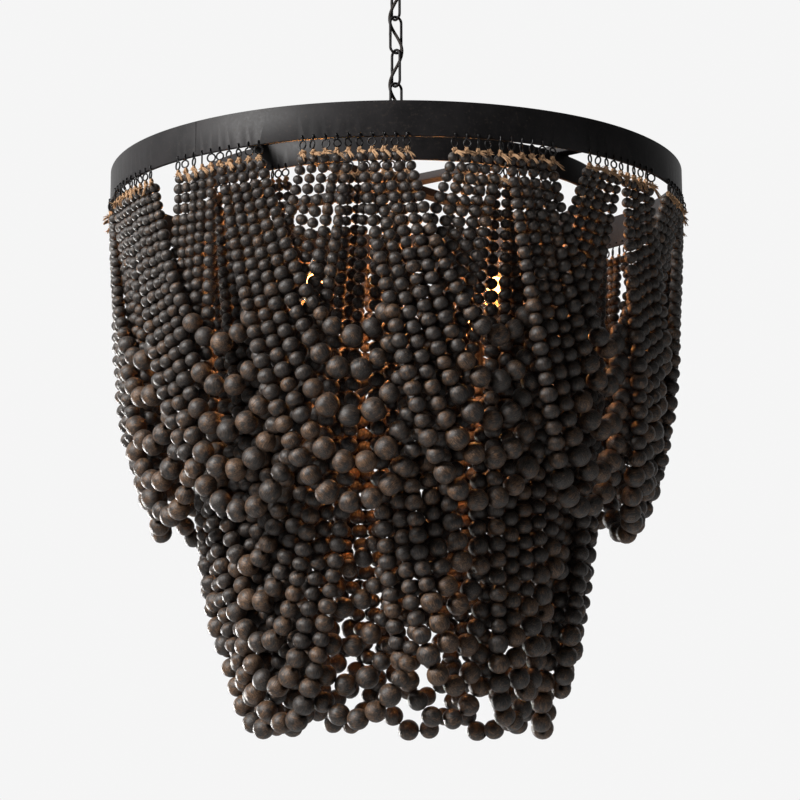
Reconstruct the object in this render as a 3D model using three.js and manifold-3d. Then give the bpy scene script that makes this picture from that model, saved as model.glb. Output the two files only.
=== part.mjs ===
// Beaded chandelier, in millimetres, +Z up.
// The origin is on the ceiling face, on the axis of the chain. -Y is the side seen first.

import * as THREE from 'three';
import { mergeVertices } from 'three/addons/utils/BufferGeometryUtils.js';
import Module from 'manifold-3d';

const wasm = await Module();
wasm.setup();

// Driving dimensions
const ringRadius = 305;            // outside of the big ring
const ringBand = 35;               // height of its band
const ringWall = 4;
const ceilingToRing = 280;         // ceiling face down to the top plane of the frame
const ringSpacing = 85;            // outside of the big ring to outside of the small one
const innerRingRadius = ringRadius - ringSpacing;
const innerRingBand = 26;
const innerRingWall = 3.5;
const seatGap = 0.3;               // gap between pieces that touch
const ringSegments = 48;

// Arms and hub
const armCount = 4;
const armWidth = 16;
const armHeight = 9;
const armTurn = 51;                // degrees from -Y towards +X of the first arm
const hubRadius = 26;
const hubRise = 3;                 // hub top above the arms
const hubDrop = 5;                 // hub bottom below the arms
const hubSegments = 24;

// Chain
const linkCount = 5;
const linkPitch = 37.4;
const linkWire = 3;
const linkWidth = 16;              // outside, across the link
const linkTurns = [25, -50];       // degrees of every even and every odd link about the chain
const linkArcSteps = 6;
const wireSides = 6;
const chainTop = 62;               // first contact below the ceiling
const loopWire = 4;                // wire of the loops at both ends of the chain
const loopWidth = 22;
const cordRadius = 1.75;
const cordSwing = 6.8;             // how far the cord swings to each side of the chain
const cordSides = 8;
const cordStep = 8;

// Ceiling fittings
const barLength = 100;
const barWidth = 20;
const barThickness = 2.5;
const slotWidth = 5.5;
const slotLength = 20;
const slotOffset = 30;             // slot's middle from the axis
const slotCurveSteps = 6;
const nippleRadius = 5;
const nippleBore = 3;
const nippleLength = 24;
const collarRadius = 12.5;
const collarTop = 16;              // below the ceiling
const collarBottom = 40;
const collarSocket = 9;            // depth of the collar's socket for the nipple
const canopyRadius = 64;
const canopyDepth = 27;
const canopyWall = 1.4;
const canopyShoulder = 14;         // radius of the rounded edge
const canopyHole = 13.5;
const canopyTurns = 28;
const nutRadius = 19;
const nutHeight = 8;
const nutBoreGap = 0.5;
const nutRoll = 2;                 // rounding of the nut's edges
const nutTurns = 24;

// Lamp cluster below the hub
const lampCount = 4;
const lampClearance = 88;          // outside of the small ring to the middle of a candle
const lampReach = innerRingRadius - lampClearance;
const stemRadius = 6.5;
const stemEnd = 196;               // below the top plane of the frame
const bossRadius = 15;
const bossHeight = 26;
const bossNeck = 8;
const finialRadius = 8;
const socketArmRadius = 4.5;
const socketArmDip = 22;           // lowest point of a socket arm below the middle of the boss
const socketArmSteps = 14;
const cupBottom = 200;             // below the top plane of the frame
const cupStemRadius = 7;
const cupStemHeight = 5;
const cupRadius = 19;
const cupHeight = 8;
const cupWall = 1.6;
const sleeveRadius = 12;
const sleeveTop = 158;             // below the top plane of the frame
const socketBore = 7.5;
const socketDepth = 22;
const bulbBaseRadius = 6.2;
const bulbBaseLength = 18;
const bulbNeckRadius = 8.5;
const bulbRadius = 16;
const bulbLength = 53;             // glass alone
const bulbTipRadius = 1.5;
const turnedSides = 12;

// Beads
const smallBead = 10;              // diameters
const middleBead = 16;
const shoulderBead = 19;
const largeBead = 22;
const gradeStart = 60;             // below the top plane: the beads grow from here
const gradeEnd = 295;              // to here
const stringsPerHalf = 5;
const stringTop = 45;              // where the tubes of beads enter the header
const headerHeight = 11;
const headerWall = 8;
const headerSteps = 2;
const hangStep = 3;                // along a string
const tubeSides = 4;
const pullRange = 1000;            // the sideways pull is sought from 1 / pullRange to pullRange steps
const pullTries = 60;
const outerSwags = 13;

// The ends of the swags hang from the ring in clusters, which hold clusterEnds of them in turn.
// Every swag is given by the numbers of its left and right end and by its extra depth.
const outerTier = {
  name: 'outer_swag_',
  radius: ringRadius - ringWall / 2,
  band: ringBand,
  clusters: outerSwags,
  clusterEnds: [2],
  swags: Array.from({ length: outerSwags }, (_, k) => [2 * k + 1, 2 * k + 4, 0]),
  turn: -7.5,                      // middle of the first cluster, in degrees
  pitch: 11.2,
  layerFall: 85,                   // height over which the layers part
  layerStart: 10,                  // middle of a swag behind the straight line between its ends
  layerStep: 20,                   // its right part further behind, its left part nearer
  stagger: 2,                      // every other string lies further out by twice this
  tubeShare: 0.7,                  // thickness of a tube as a share of its beads
  firstDrop: 219.5,
  dropStep: 38.7,
  placeShares: [0, 0.2, 0.5, 0.76, 0.9, 1],  // along half a string, from the ring down
};
const lowerTier = {
  name: 'lower_swag_',
  radius: innerRingRadius - innerRingWall / 2,
  band: armHeight + seatGap + innerRingBand,
  clusters: 9,
  clusterEnds: [2, 3, 3],
  swags: [
    [1, 4, 0], [3, 6, 0], [5, 8, 0], [7, 10, -12], [9, 12, 0], [11, 14, 0],
    [13, 16, 0], [15, 18, -12], [17, 23, 22], [19, 22, 16], [20, 24, -12], [21, 26, 8],
  ],
  turn: -6.5,
  pitch: 8,
  layerFall: 36,
  layerStart: 2,
  layerStep: 22,
  stagger: 0,
  tubeShare: 0.6,
  firstDrop: 423.7,
  dropStep: 38.2,
  placeShares: [0, 0.08, 0.6, 0.84, 0.94, 1],
};

// Derived heights
const framePlane = -ceilingToRing;
const chainClearance = linkWire + seatGap;
const overrun = 2;                 // cuts run past the faces by this much
const weldDistance = 1e-4;         // points nearer than this are one point
const steepShare = 0.9;            // rise of a steep path as a share of its length
const degree = Math.PI / 180;

// Materials
const blackMetal = { color: 0x232120, roughness: 0.5, metalness: 0.75 };
const steel = { color: 0x8d8f92, roughness: 0.4, metalness: 0.9 };
const darkFlex = { color: 0x151312, roughness: 0.7, metalness: 0 };
const candleDark = { color: 0x2a2522, roughness: 0.6, metalness: 0.2 };
const warmGlass = { color: 0xffd9a0, roughness: 0.1, metalness: 0 };
const darkWood = { color: 0x34291f, roughness: 0.6, metalness: 0 };

const chandelier = new THREE.Group();

function add(name, geometry, look) {
  const mesh = new THREE.Mesh(geometry, new THREE.MeshStandardMaterial(look));
  mesh.name = name;
  chandelier.add(mesh);
  return mesh;
}

function toSolid(geometry) {
  const bare = geometry.clone();
  bare.deleteAttribute('normal');
  bare.deleteAttribute('uv');
  const merged = mergeVertices(bare, weldDistance);
  const mesh = new wasm.Mesh({
    numProp: 3,
    vertProperties: new Float32Array(merged.attributes.position.array),
    triVerts: new Uint32Array(merged.index.array),
  });
  return new wasm.Manifold(mesh);
}

function toGeometry(solid) {
  const mesh = solid.getMesh();
  const geometry = new THREE.BufferGeometry();
  geometry.setAttribute('position', new THREE.BufferAttribute(new Float32Array(mesh.vertProperties), 3));
  geometry.setIndex(new THREE.BufferAttribute(new Uint32Array(mesh.triVerts), 1));
  geometry.computeVertexNormals();
  return geometry;
}

// A tube of changing radius through a list of points, closed on itself or with flat ends
function sweep(points, radii, sides, closed) {
  const count = points.length;
  const places = [];
  const faces = [];
  let side = null;
  for (let i = 0; i < count; i += 1) {
    const before = closed ? points[(i + count - 1) % count] : points[Math.max(i - 1, 0)];
    const after = closed ? points[(i + 1) % count] : points[Math.min(i + 1, count - 1)];
    const along = after.clone().sub(before).normalize();
    if (side === null) {
      side = Math.abs(along.z) < steepShare ? new THREE.Vector3(0, 0, 1) : points[0].clone().setZ(0);
    }
    side = side.clone().sub(along.clone().multiplyScalar(side.dot(along))).normalize();
    const other = along.clone().cross(side);
    for (let k = 0; k < sides; k += 1) {
      const angle = (2 * Math.PI * (k + 0.5)) / sides;
      const place = points[i].clone();
      place.addScaledVector(side, radii[i] * Math.cos(angle));
      place.addScaledVector(other, radii[i] * Math.sin(angle));
      places.push(place.x, place.y, place.z);
    }
  }
  const rings = closed ? count : count - 1;
  for (let i = 0; i < rings; i += 1) {
    const next = (i + 1) % count;
    for (let k = 0; k < sides; k += 1) {
      const turn = (k + 1) % sides;
      faces.push(i * sides + k, i * sides + turn, next * sides + turn);
      faces.push(i * sides + k, next * sides + turn, next * sides + k);
    }
  }
  if (!closed) {
    const last = (count - 1) * sides;
    for (let k = 1; k < sides - 1; k += 1) {
      faces.push(0, k + 1, k);
      faces.push(last, last + k, last + k + 1);
    }
  }
  const geometry = new THREE.BufferGeometry();
  geometry.setAttribute('position', new THREE.Float32BufferAttribute(places, 3));
  geometry.setIndex(faces);
  geometry.computeVertexNormals();
  return geometry;
}

// A turned piece about +Z from [radius, height] points, both ends on the axis or closed on itself
function turned(profile, segments) {
  const points = profile.map(([radius, height]) => new THREE.Vector2(radius, height));
  const geometry = new THREE.LatheGeometry(points, segments);
  geometry.rotateX(Math.PI / 2);
  return toGeometry(toSolid(geometry));
}

function band(radius, wall, top, height, segments) {
  const inside = radius - wall;
  const bottom = top - height;
  return turned([[inside, bottom], [radius, bottom], [radius, top], [inside, top], [inside, bottom]], segments);
}

// Degrees from -Y towards +X, as seen by someone who faces +Y
function around(angle, radius, height) {
  return new THREE.Vector3(radius * Math.sin(angle * degree), -radius * Math.cos(angle * degree), height);
}

// Ceiling strap with two screw slots and a hole for the nipple
function makeCrossbar() {
  const outline = new THREE.Shape();
  outline.moveTo(-barLength / 2, -barWidth / 2);
  outline.lineTo(barLength / 2, -barWidth / 2);
  outline.lineTo(barLength / 2, barWidth / 2);
  outline.lineTo(-barLength / 2, barWidth / 2);
  const hole = new THREE.Path();
  hole.absarc(0, 0, nippleRadius + seatGap, 0, 2 * Math.PI, true);
  outline.holes.push(hole);
  for (const sign of [-1, 1]) {
    const slot = new THREE.Path();
    const run = (slotLength - slotWidth) / 2;
    slot.absarc(sign * slotOffset + run, 0, slotWidth / 2, Math.PI / 2, -Math.PI / 2, true);
    slot.absarc(sign * slotOffset - run, 0, slotWidth / 2, -Math.PI / 2, -1.5 * Math.PI, true);
    outline.holes.push(slot);
  }
  const settings = { depth: barThickness, bevelEnabled: false, curveSegments: slotCurveSteps };
  const geometry = new THREE.ExtrudeGeometry(outline, settings);
  geometry.translate(0, 0, -barThickness);
  add('crossbar', geometry, steel);
}

function makeNipple() {
  const profile = [
    [nippleBore, -nippleLength],
    [nippleRadius, -nippleLength],
    [nippleRadius, 0],
    [nippleBore, 0],
    [nippleBore, -nippleLength],
  ];
  add('nipple', turned(profile, turnedSides), steel);
}

// A loop of wire that stands on a face at height base and reaches to height end, in the plane at turn
function loopPoints(base, end, turn) {
  const half = (loopWidth - loopWire) / 2;
  const sense = Math.sign(end - base);
  const centre = end - sense * half;
  const points = [];
  const across = new THREE.Vector3(Math.cos(turn * degree), Math.sin(turn * degree), 0);
  points.push(across.clone().multiplyScalar(-half).setZ(base));
  for (let i = 0; i <= linkArcSteps; i += 1) {
    const angle = Math.PI * (1 - i / linkArcSteps);
    const place = across.clone().multiplyScalar(half * Math.cos(angle));
    points.push(place.setZ(centre + sense * half * Math.sin(angle)));
  }
  points.push(across.clone().multiplyScalar(half).setZ(base));
  return points;
}

function sameRadii(points, radius) {
  return points.map(() => radius);
}

function makeCollar() {
  const socket = nippleRadius + seatGap;
  const profile = [
    [nippleBore, -collarBottom],
    [collarRadius, -collarBottom],
    [collarRadius, -collarTop],
    [socket, -collarTop],
    [socket, -collarTop - collarSocket],
    [nippleBore, -collarTop - collarSocket],
    [nippleBore, -collarBottom],
  ];
  const body = toSolid(turned(profile, turnedSides));
  const lowest = -chainTop - seatGap / 2 - loopWire / 2;
  const points = loopPoints(-collarBottom + overrun, lowest, linkTurns[0]);
  const loop = toSolid(sweep(points, sameRadii(points, loopWire / 2), wireSides, false));
  add('collar_loop', toGeometry(body.add(loop)), blackMetal);
}

// Shallow cup with a rounded edge and a hole for the collar
function makeCanopy() {
  const arcSteps = 3;
  const profile = [];
  const corner = canopyRadius - canopyShoulder;
  const rise = canopyDepth - canopyShoulder;
  profile.push([canopyRadius, 0]);
  for (let i = 0; i <= arcSteps; i += 1) {
    const angle = (Math.PI / 2) * (i / arcSteps);
    profile.push([corner + canopyShoulder * Math.cos(angle), -rise - canopyShoulder * Math.sin(angle)]);
  }
  profile.push([canopyHole, -canopyDepth]);
  profile.push([canopyHole, -canopyDepth + canopyWall]);
  const inner = canopyShoulder - canopyWall;
  for (let i = arcSteps; i >= 0; i -= 1) {
    const angle = (Math.PI / 2) * (i / arcSteps);
    profile.push([corner + inner * Math.cos(angle), -rise - inner * Math.sin(angle)]);
  }
  profile.push([canopyRadius - canopyWall, 0]);
  profile.push([canopyRadius, 0]);
  add('canopy', turned(profile.reverse(), canopyTurns), blackMetal);
}

function makeNut() {
  const bore = collarRadius + nutBoreGap;
  const top = -canopyDepth - seatGap;
  const bottom = top - nutHeight;
  const profile = [
    [bore, bottom],
    [nutRadius - nutRoll, bottom],
    [nutRadius, bottom + nutRoll],
    [nutRadius, top - nutRoll],
    [nutRadius - nutRoll, top],
    [bore, top],
    [bore, bottom],
  ];
  add('ring_nut', turned(profile, nutTurns), blackMetal);
}

// Height of the contact below link i, counted from the ceiling loop at 0
function contact(i) {
  return -chainTop - linkPitch * i;
}

function linkTurn(i) {
  return linkTurns[i % 2];
}

function makeLinks() {
  const half = (linkWidth - linkWire) / 2;
  const reach = (linkPitch + chainClearance) / 2;
  for (let i = 1; i <= linkCount; i += 1) {
    const middle = (contact(i - 1) + contact(i)) / 2;
    const turn = linkTurn(i) * degree;
    const points = [];
    for (const sense of [1, -1]) {
      for (let k = 0; k <= linkArcSteps; k += 1) {
        const angle = Math.PI * (k / linkArcSteps);
        const out = sense * half * Math.cos(angle);
        const height = middle + sense * (reach - half + half * Math.sin(angle));
        points.push(new THREE.Vector3(out * Math.cos(turn), out * Math.sin(turn), height));
      }
    }
    const geometry = sweep(points, sameRadii(points, linkWire / 2), wireSides, true);
    add(`chain_link_${i}`, geometry, blackMetal);
  }
}

// The cord leaves the collar on the axis, weaves from side to side and enters the hub beside its loop
function cordPoint(height) {
  const middleTurn = ((linkTurns[0] + linkTurns[1]) / 2) * degree;
  const phase = (Math.PI * (-chainTop - height)) / linkPitch;
  const fade = Math.min((-collarBottom - height) / (chainTop - collarBottom), 1);
  const ease = fade * fade * (3 - 2 * fade);
  const swing = cordSwing * ease * (height < contact(linkCount) ? Math.cos(Math.PI * linkCount) : Math.cos(phase));
  return new THREE.Vector3(swing * Math.cos(middleTurn), swing * Math.sin(middleTurn), height);
}

function makeCord() {
  const start = -collarBottom - seatGap;
  const end = framePlane + hubRise + seatGap;
  const steps = Math.round((start - end) / cordStep);
  const points = [];
  for (let i = 0; i <= steps; i += 1) {
    points.push(cordPoint(start + ((end - start) * i) / steps));
  }
  const curve = new THREE.CatmullRomCurve3(points);
  const section = new THREE.Shape();
  for (let k = 0; k < cordSides; k += 1) {
    const angle = (2 * Math.PI * k) / cordSides;
    const move = k === 0 ? 'moveTo' : 'lineTo';
    section[move](cordRadius * Math.cos(angle), cordRadius * Math.sin(angle));
  }
  const settings = { steps, bevelEnabled: false, extrudePath: curve };
  add('lamp_cord', new THREE.ExtrudeGeometry(section, settings), darkFlex);
}

function makeHub() {
  const top = framePlane + hubRise;
  const bottom = framePlane - armHeight - hubDrop;
  const disc = toSolid(turned([[0, bottom], [hubRadius, bottom], [hubRadius, top], [0, top]], hubSegments));
  add('hub', toGeometry(disc), blackMetal);

  const highest = contact(linkCount) + seatGap / 2 + loopWire / 2;
  const points = loopPoints(top + seatGap, highest, linkTurn(linkCount + 1));
  add('hub_loop', sweep(points, sameRadii(points, loopWire / 2), wireSides, false), blackMetal);
}

function makeArms() {
  const start = hubRadius + seatGap;
  const sag = ringRadius - ringWall;
  const end = Math.sqrt(sag * sag - (armWidth * armWidth) / 4) * Math.cos(Math.PI / ringSegments) - seatGap;
  for (let i = 0; i < armCount; i += 1) {
    const arm = new THREE.BoxGeometry(armWidth, end - start, armHeight);
    arm.translate(0, -(start + end) / 2, framePlane - armHeight / 2);
    arm.rotateZ((armTurn + (360 * i) / armCount) * degree);
    add(`arm_${i + 1}`, arm, blackMetal);
  }
}

function makeRings() {
  add('outer_ring', band(ringRadius, ringWall, framePlane, ringBand, ringSegments), blackMetal);
  const innerTop = framePlane - armHeight - seatGap;
  const inner = band(innerRingRadius, innerRingWall, innerTop, innerRingBand, ringSegments);
  add('inner_ring', inner, blackMetal);
}

function makeStem() {
  const top = framePlane - armHeight - hubDrop - seatGap;
  const bottom = framePlane - stemEnd;
  add('stem', turned([[0, bottom], [stemRadius, bottom], [stemRadius, top], [0, top]], turnedSides), blackMetal);

  const bossTop = bottom - seatGap;
  const bossBottom = bossTop - bossHeight;
  const ballCentre = bossBottom - bossNeck;
  const profile = [[0, bossTop]];
  profile.push([bossNeck, bossTop]);
  profile.push([bossRadius, bossTop - bossNeck / 2]);
  profile.push([bossRadius, bossBottom + bossNeck / 2]);
  profile.push([finialRadius / 2, bossBottom]);
  const ballSteps = 6;
  for (let i = 1; i < ballSteps; i += 1) {
    const angle = (Math.PI * i) / ballSteps;
    profile.push([finialRadius * Math.sin(angle), ballCentre + finialRadius * Math.cos(angle)]);
  }
  profile.push([0, ballCentre - finialRadius]);
  add('lower_hub', turned(profile.reverse(), turnedSides), blackMetal);
}

function makeLamps() {
  const bossMiddle = framePlane - stemEnd - seatGap - bossHeight / 2;
  const cupBase = framePlane - cupBottom;
  for (let i = 0; i < lampCount; i += 1) {
    const turn = armTurn + (360 * i) / lampCount;
    const root = bossRadius + seatGap;
    const route = new THREE.CatmullRomCurve3([
      around(turn, root + socketArmRadius, bossMiddle),
      around(turn, lampReach / 2, bossMiddle - socketArmDip),
      around(turn, lampReach - 2 * cupStemRadius, bossMiddle - socketArmDip / 2),
      around(turn, lampReach, cupBase - seatGap - socketArmRadius),
    ]);
    const points = route.getPoints(socketArmSteps);
    points.unshift(around(turn, root, bossMiddle));
    points.push(around(turn, lampReach, cupBase - seatGap));
    const radii = sameRadii(points, socketArmRadius);
    add(`socket_arm_${i + 1}`, sweep(points, radii, wireSides, false), blackMetal);

    const place = around(turn, lampReach, 0);
    const candle = turned(candleProfile(cupBase), turnedSides);
    candle.translate(place.x, place.y, 0);
    add(`candle_${i + 1}`, candle, candleDark);

    const bulb = turned(bulbProfile(), turnedSides);
    bulb.translate(place.x, place.y, 0);
    add(`bulb_${i + 1}`, bulb, warmGlass);
  }
}

// Drip cup, sleeve and the socket's bore in one turned piece
function candleProfile(cupBase) {
  const rimTop = cupBase + cupStemHeight + cupHeight;
  const dish = cupBase + cupStemHeight;
  const sleeveEnd = framePlane - sleeveTop;
  return [
    [0, cupBase],
    [cupStemRadius, cupBase],
    [cupStemRadius, dish],
    [cupRadius - cupHeight / 2, dish],
    [cupRadius, rimTop],
    [cupRadius - cupWall, rimTop],
    [cupRadius - cupHeight / 2 - cupWall, dish + cupWall],
    [sleeveRadius, dish + cupWall],
    [sleeveRadius, sleeveEnd],
    [socketBore, sleeveEnd],
    [socketBore, sleeveEnd - socketDepth],
    [0, sleeveEnd - socketDepth],
  ];
}

// Screw base and pointed glass
function bulbProfile() {
  const neck = framePlane - sleeveTop + seatGap;
  const outlineShares = [[0.12, 0.78], [0.3, 1], [0.5, 0.93], [0.7, 0.62], [0.87, 0.28]];
  const profile = [[0, neck - bulbBaseLength], [bulbBaseRadius, neck - bulbBaseLength], [bulbBaseRadius, neck]];
  profile.push([bulbNeckRadius, neck]);
  for (const [rise, swell] of outlineShares) {
    profile.push([bulbRadius * swell, neck + bulbLength * rise]);
  }
  profile.push([bulbTipRadius, neck + bulbLength]);
  profile.push([0, neck + bulbLength]);
  return profile;
}

// Diameter of the beads at a place on a string: the largest lie at the middle of the bottom
function beadSize(fromMiddle, below, largeBeads) {
  const largeRun = (largeBeads * largeBead) / 2;
  if (fromMiddle < largeRun) {
    return largeBead;
  }
  if (fromMiddle < largeRun + shoulderBead) {
    return shoulderBead;
  }
  const share = Math.min(Math.max((below - gradeStart) / (gradeEnd - gradeStart), 0), 1);
  return smallBead + (middleBead - smallBead) * share;
}

// Half of a hanging string, from the middle of its bottom up to the header, for one sideways pull
function traceString(pull, drop, largeBeads) {
  const places = [{ out: 0, below: drop, size: largeBead, run: 0 }];
  let weight = 0;
  let out = 0;
  let below = drop;
  let run = 0;
  while (below > stringTop) {
    const size = beadSize(run, below, largeBeads);
    weight += (size * size * hangStep) / (largeBead * largeBead);
    const slope = Math.atan2(weight, pull);
    const rise = hangStep * Math.sin(slope);
    const part = Math.min((below - stringTop) / rise, 1);
    out += part * hangStep * Math.cos(slope);
    run += part * hangStep;
    below = part < 1 ? stringTop : below - rise;
    places.push({ out, below, size, run });
  }
  return places;
}

// The pull that brings the string's end to its hole in the ring
function hangString(halfSpan, drop, largeBeads) {
  let low = hangStep / pullRange;
  let high = hangStep * pullRange;
  let places = null;
  for (let i = 0; i < pullTries; i += 1) {
    const pull = Math.sqrt(low * high);
    places = traceString(pull, drop, largeBeads);
    if (places[places.length - 1].out > halfSpan) {
      high = pull;
    } else {
      low = pull;
    }
  }
  return places;
}

// Angles of the middles of all the swags' ends round a ring, with equal gaps between the clusters
function endAngles(tier) {
  const width = (stringsPerHalf * tier.pitch) / tier.radius / degree;
  const counts = Array.from({ length: tier.clusters }, (_, i) => tier.clusterEnds[i % tier.clusterEnds.length]);
  const ends = counts.reduce((sum, count) => sum + count, 0);
  const gap = (360 - ends * width) / tier.clusters;
  const angles = [];
  let start = tier.turn - (counts[0] * width) / 2;
  for (const count of counts) {
    for (let k = 0; k < count; k += 1) {
      angles.push(start + width * (k + 0.5));
    }
    start += count * width + gap;
  }
  return angles;
}

function swagSpans(tier) {
  const ends = endAngles(tier);
  const angle = (place) => ends[place % ends.length] + 360 * Math.floor(place / ends.length);
  return tier.swags.map(([from, to, depth]) => {
    const left = angle(from);
    const right = angle(to);
    return { left, right, depth, centre: (left + right) / 2, half: (right - left) / 2 };
  });
}

// Distance behind the straight line between the ends, for a place across from -1 at the left to 1
function inset(tier, span, below, across, number) {
  const share = Math.min(Math.max((below - stringTop) / tier.layerFall, 0), 1);
  const ease = share * share * (3 - 2 * share);
  const sideways = number % 2 === 0 ? tier.stagger : -tier.stagger;
  return ease * (tier.layerStart + span.depth + tier.layerStep * across + sideways);
}

function placeOnString(halfString, share) {
  const whole = halfString[halfString.length - 1].run;
  const wanted = whole * (1 - share);
  let i = 1;
  while (i < halfString.length - 1 && halfString[i].run < wanted) {
    i += 1;
  }
  const a = halfString[i - 1];
  const b = halfString[i];
  const mix = (wanted - a.run) / (b.run - a.run);
  return {
    out: a.out + (b.out - a.out) * mix,
    below: a.below + (b.below - a.below) * mix,
    size: b.size,
  };
}

// One string of a swag as a tube whose thickness follows its beads, hung between its two holes
function stringSolid(tier, span, number) {
  const rank = number - (stringsPerHalf + 1) / 2;
  const halfAngle = span.half * degree + (rank * tier.pitch) / tier.radius;
  const reach = tier.radius * Math.sin(halfAngle);
  const line = tier.radius * Math.cos(halfAngle);
  const half = hangString(reach, tier.firstDrop + tier.dropStep * (number - 1), number);
  const points = [];
  const radii = [];
  const shares = tier.placeShares.map((share) => [share, -1]);
  const back = tier.placeShares.slice(0, -1).reverse().map((share) => [share, 1]);
  for (const [share, sense] of shares.concat(back)) {
    const place = placeOnString(half, share);
    const out = sense * place.out;
    const depth = line - inset(tier, span, place.below, out / reach, number);
    const angle = Math.atan2(out, depth) / degree;
    points.push(around(span.centre + angle, Math.hypot(out, depth), framePlane - place.below));
    radii.push((place.size * tier.tubeShare) / 2);
  }
  return toSolid(sweep(points, radii, tubeSides, false));
}

// The row of wire rings and knots under the band, for one end of a swag
function headerSolid(tier, middle) {
  const inside = tier.radius - headerWall / 2;
  const outside = tier.radius + headerWall / 2;
  const reach = (stringsPerHalf * tier.pitch - seatGap) / 2 / tier.radius;
  const turn = middle * degree - Math.PI / 2;
  const outline = new THREE.Shape();
  outline.absarc(0, 0, outside, turn - reach, turn + reach, false);
  outline.absarc(0, 0, inside, turn + reach, turn - reach, true);
  const settings = { depth: headerHeight, bevelEnabled: false, curveSegments: headerSteps };
  const geometry = new THREE.ExtrudeGeometry(outline, settings);
  geometry.translate(0, 0, framePlane - tier.band - seatGap - headerHeight);
  return toSolid(geometry);
}

function makeSwags(tier) {
  swagSpans(tier).forEach((span, k) => {
    let swag = headerSolid(tier, span.left).add(headerSolid(tier, span.right));
    for (let number = 1; number <= stringsPerHalf; number += 1) {
      swag = swag.add(stringSolid(tier, span, number));
    }
    add(`${tier.name}${String(k + 1).padStart(2, '0')}`, toGeometry(swag), darkWood);
  });
}

makeCrossbar();
makeNipple();
makeCollar();
makeCanopy();
makeNut();
makeLinks();
makeCord();
makeHub();
makeArms();
makeRings();
makeStem();
makeLamps();
makeSwags(outerTier);
makeSwags(lowerTier);

export default chandelier;
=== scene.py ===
"""Beaded chandelier: black iron frame on a chain, four candle lamps, two tiers of wooden bead strings."""

from math import atan2, cos, exp, hypot, pi, sin, sqrt

import bmesh
import bpy
import numpy as np
from mathutils import Matrix, Vector


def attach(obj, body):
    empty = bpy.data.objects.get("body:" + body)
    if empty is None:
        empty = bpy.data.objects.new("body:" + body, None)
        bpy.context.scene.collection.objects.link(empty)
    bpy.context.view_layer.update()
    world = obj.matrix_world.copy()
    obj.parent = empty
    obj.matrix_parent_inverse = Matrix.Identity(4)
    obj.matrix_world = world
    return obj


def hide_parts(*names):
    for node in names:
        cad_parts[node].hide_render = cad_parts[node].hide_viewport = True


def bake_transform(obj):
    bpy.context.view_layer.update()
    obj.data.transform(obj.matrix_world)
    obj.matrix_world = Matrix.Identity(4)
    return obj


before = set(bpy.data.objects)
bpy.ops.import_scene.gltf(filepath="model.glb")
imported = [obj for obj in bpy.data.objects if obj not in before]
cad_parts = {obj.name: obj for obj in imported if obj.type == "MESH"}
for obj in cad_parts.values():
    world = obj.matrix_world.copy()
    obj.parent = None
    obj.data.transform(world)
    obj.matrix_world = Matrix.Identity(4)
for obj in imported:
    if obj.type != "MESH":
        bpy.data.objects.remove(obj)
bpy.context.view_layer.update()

MM = 0.001
DEGREE = pi / 180
rng = np.random.default_rng(11)

# Sizes in millimetres, as in the part's source
RING_TOP = -280.0
RING_RADIUS, RING_BAND, RING_WALL = 305.0, 35.0, 4.0
INNER_RADIUS, INNER_BAND, INNER_WALL = 220.0, 26.0, 3.5
SEAT_GAP = 0.3
ARM_WIDTH, ARM_HEIGHT, ARM_TURN = 16.0, 9.0, 51.0
HUB_RADIUS, HUB_RISE, HUB_DROP = 26.0, 3.0, 5.0
LINK_COUNT, LINK_PITCH, LINK_WIRE, LINK_WIDTH = 5, 37.4, 3.0, 16.0
LINK_TURNS = (25.0, -50.0)
CHAIN_TOP, LOOP_WIRE, LOOP_WIDTH = 62.0, 4.0, 22.0
CORD_RADIUS, CORD_SWING = 1.75, 6.8
BAR_LENGTH, BAR_WIDTH, BAR_THICKNESS = 100.0, 20.0, 2.5
SLOT_WIDTH, SLOT_LENGTH, SLOT_OFFSET = 5.5, 20.0, 30.0
NIPPLE_RADIUS, NIPPLE_BORE, NIPPLE_LENGTH = 5.0, 3.0, 24.0
COLLAR_RADIUS, COLLAR_TOP, COLLAR_BOTTOM, COLLAR_SOCKET = 12.5, 16.0, 40.0, 9.0
CANOPY_RADIUS, CANOPY_DEPTH, CANOPY_WALL, CANOPY_SHOULDER, CANOPY_HOLE = 64.0, 27.0, 1.4, 14.0, 13.5
NUT_RADIUS, NUT_HEIGHT, NUT_BORE_GAP, NUT_ROLL = 19.0, 8.0, 0.5, 2.0
LAMP_REACH, STEM_RADIUS, STEM_END = 132.0, 6.5, 196.0
BOSS_RADIUS, BOSS_HEIGHT, BOSS_NECK, FINIAL_RADIUS = 15.0, 26.0, 8.0, 8.0
SOCKET_ARM_RADIUS, SOCKET_ARM_DIP = 4.5, 22.0
CUP_BOTTOM, CUP_STEM_RADIUS, CUP_STEM_HEIGHT = 200.0, 7.0, 5.0
CUP_RADIUS, CUP_HEIGHT, CUP_WALL = 19.0, 8.0, 1.6
SLEEVE_RADIUS, SLEEVE_TOP, SOCKET_BORE, SOCKET_DEPTH = 12.0, 158.0, 7.5, 22.0
BULB_BASE_RADIUS, BULB_BASE_LENGTH, BULB_NECK_RADIUS = 6.2, 18.0, 8.5
BULB_RADIUS, BULB_LENGTH, GLASS_WALL = 16.0, 53.0, 0.6
HOLE_ABOVE_EDGE, HOLE_RADIUS = 3.2, 1.25

# Beads
SMALL, MIDDLE, SHOULDER, LARGE = 9.5, 16.0, 19.0, 22.0
GRADE_START, GRADE_END = 60.0, 295.0
STRINGS = 5
STRING_TOP = 49.0
HANG_STEP = 3.0
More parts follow.
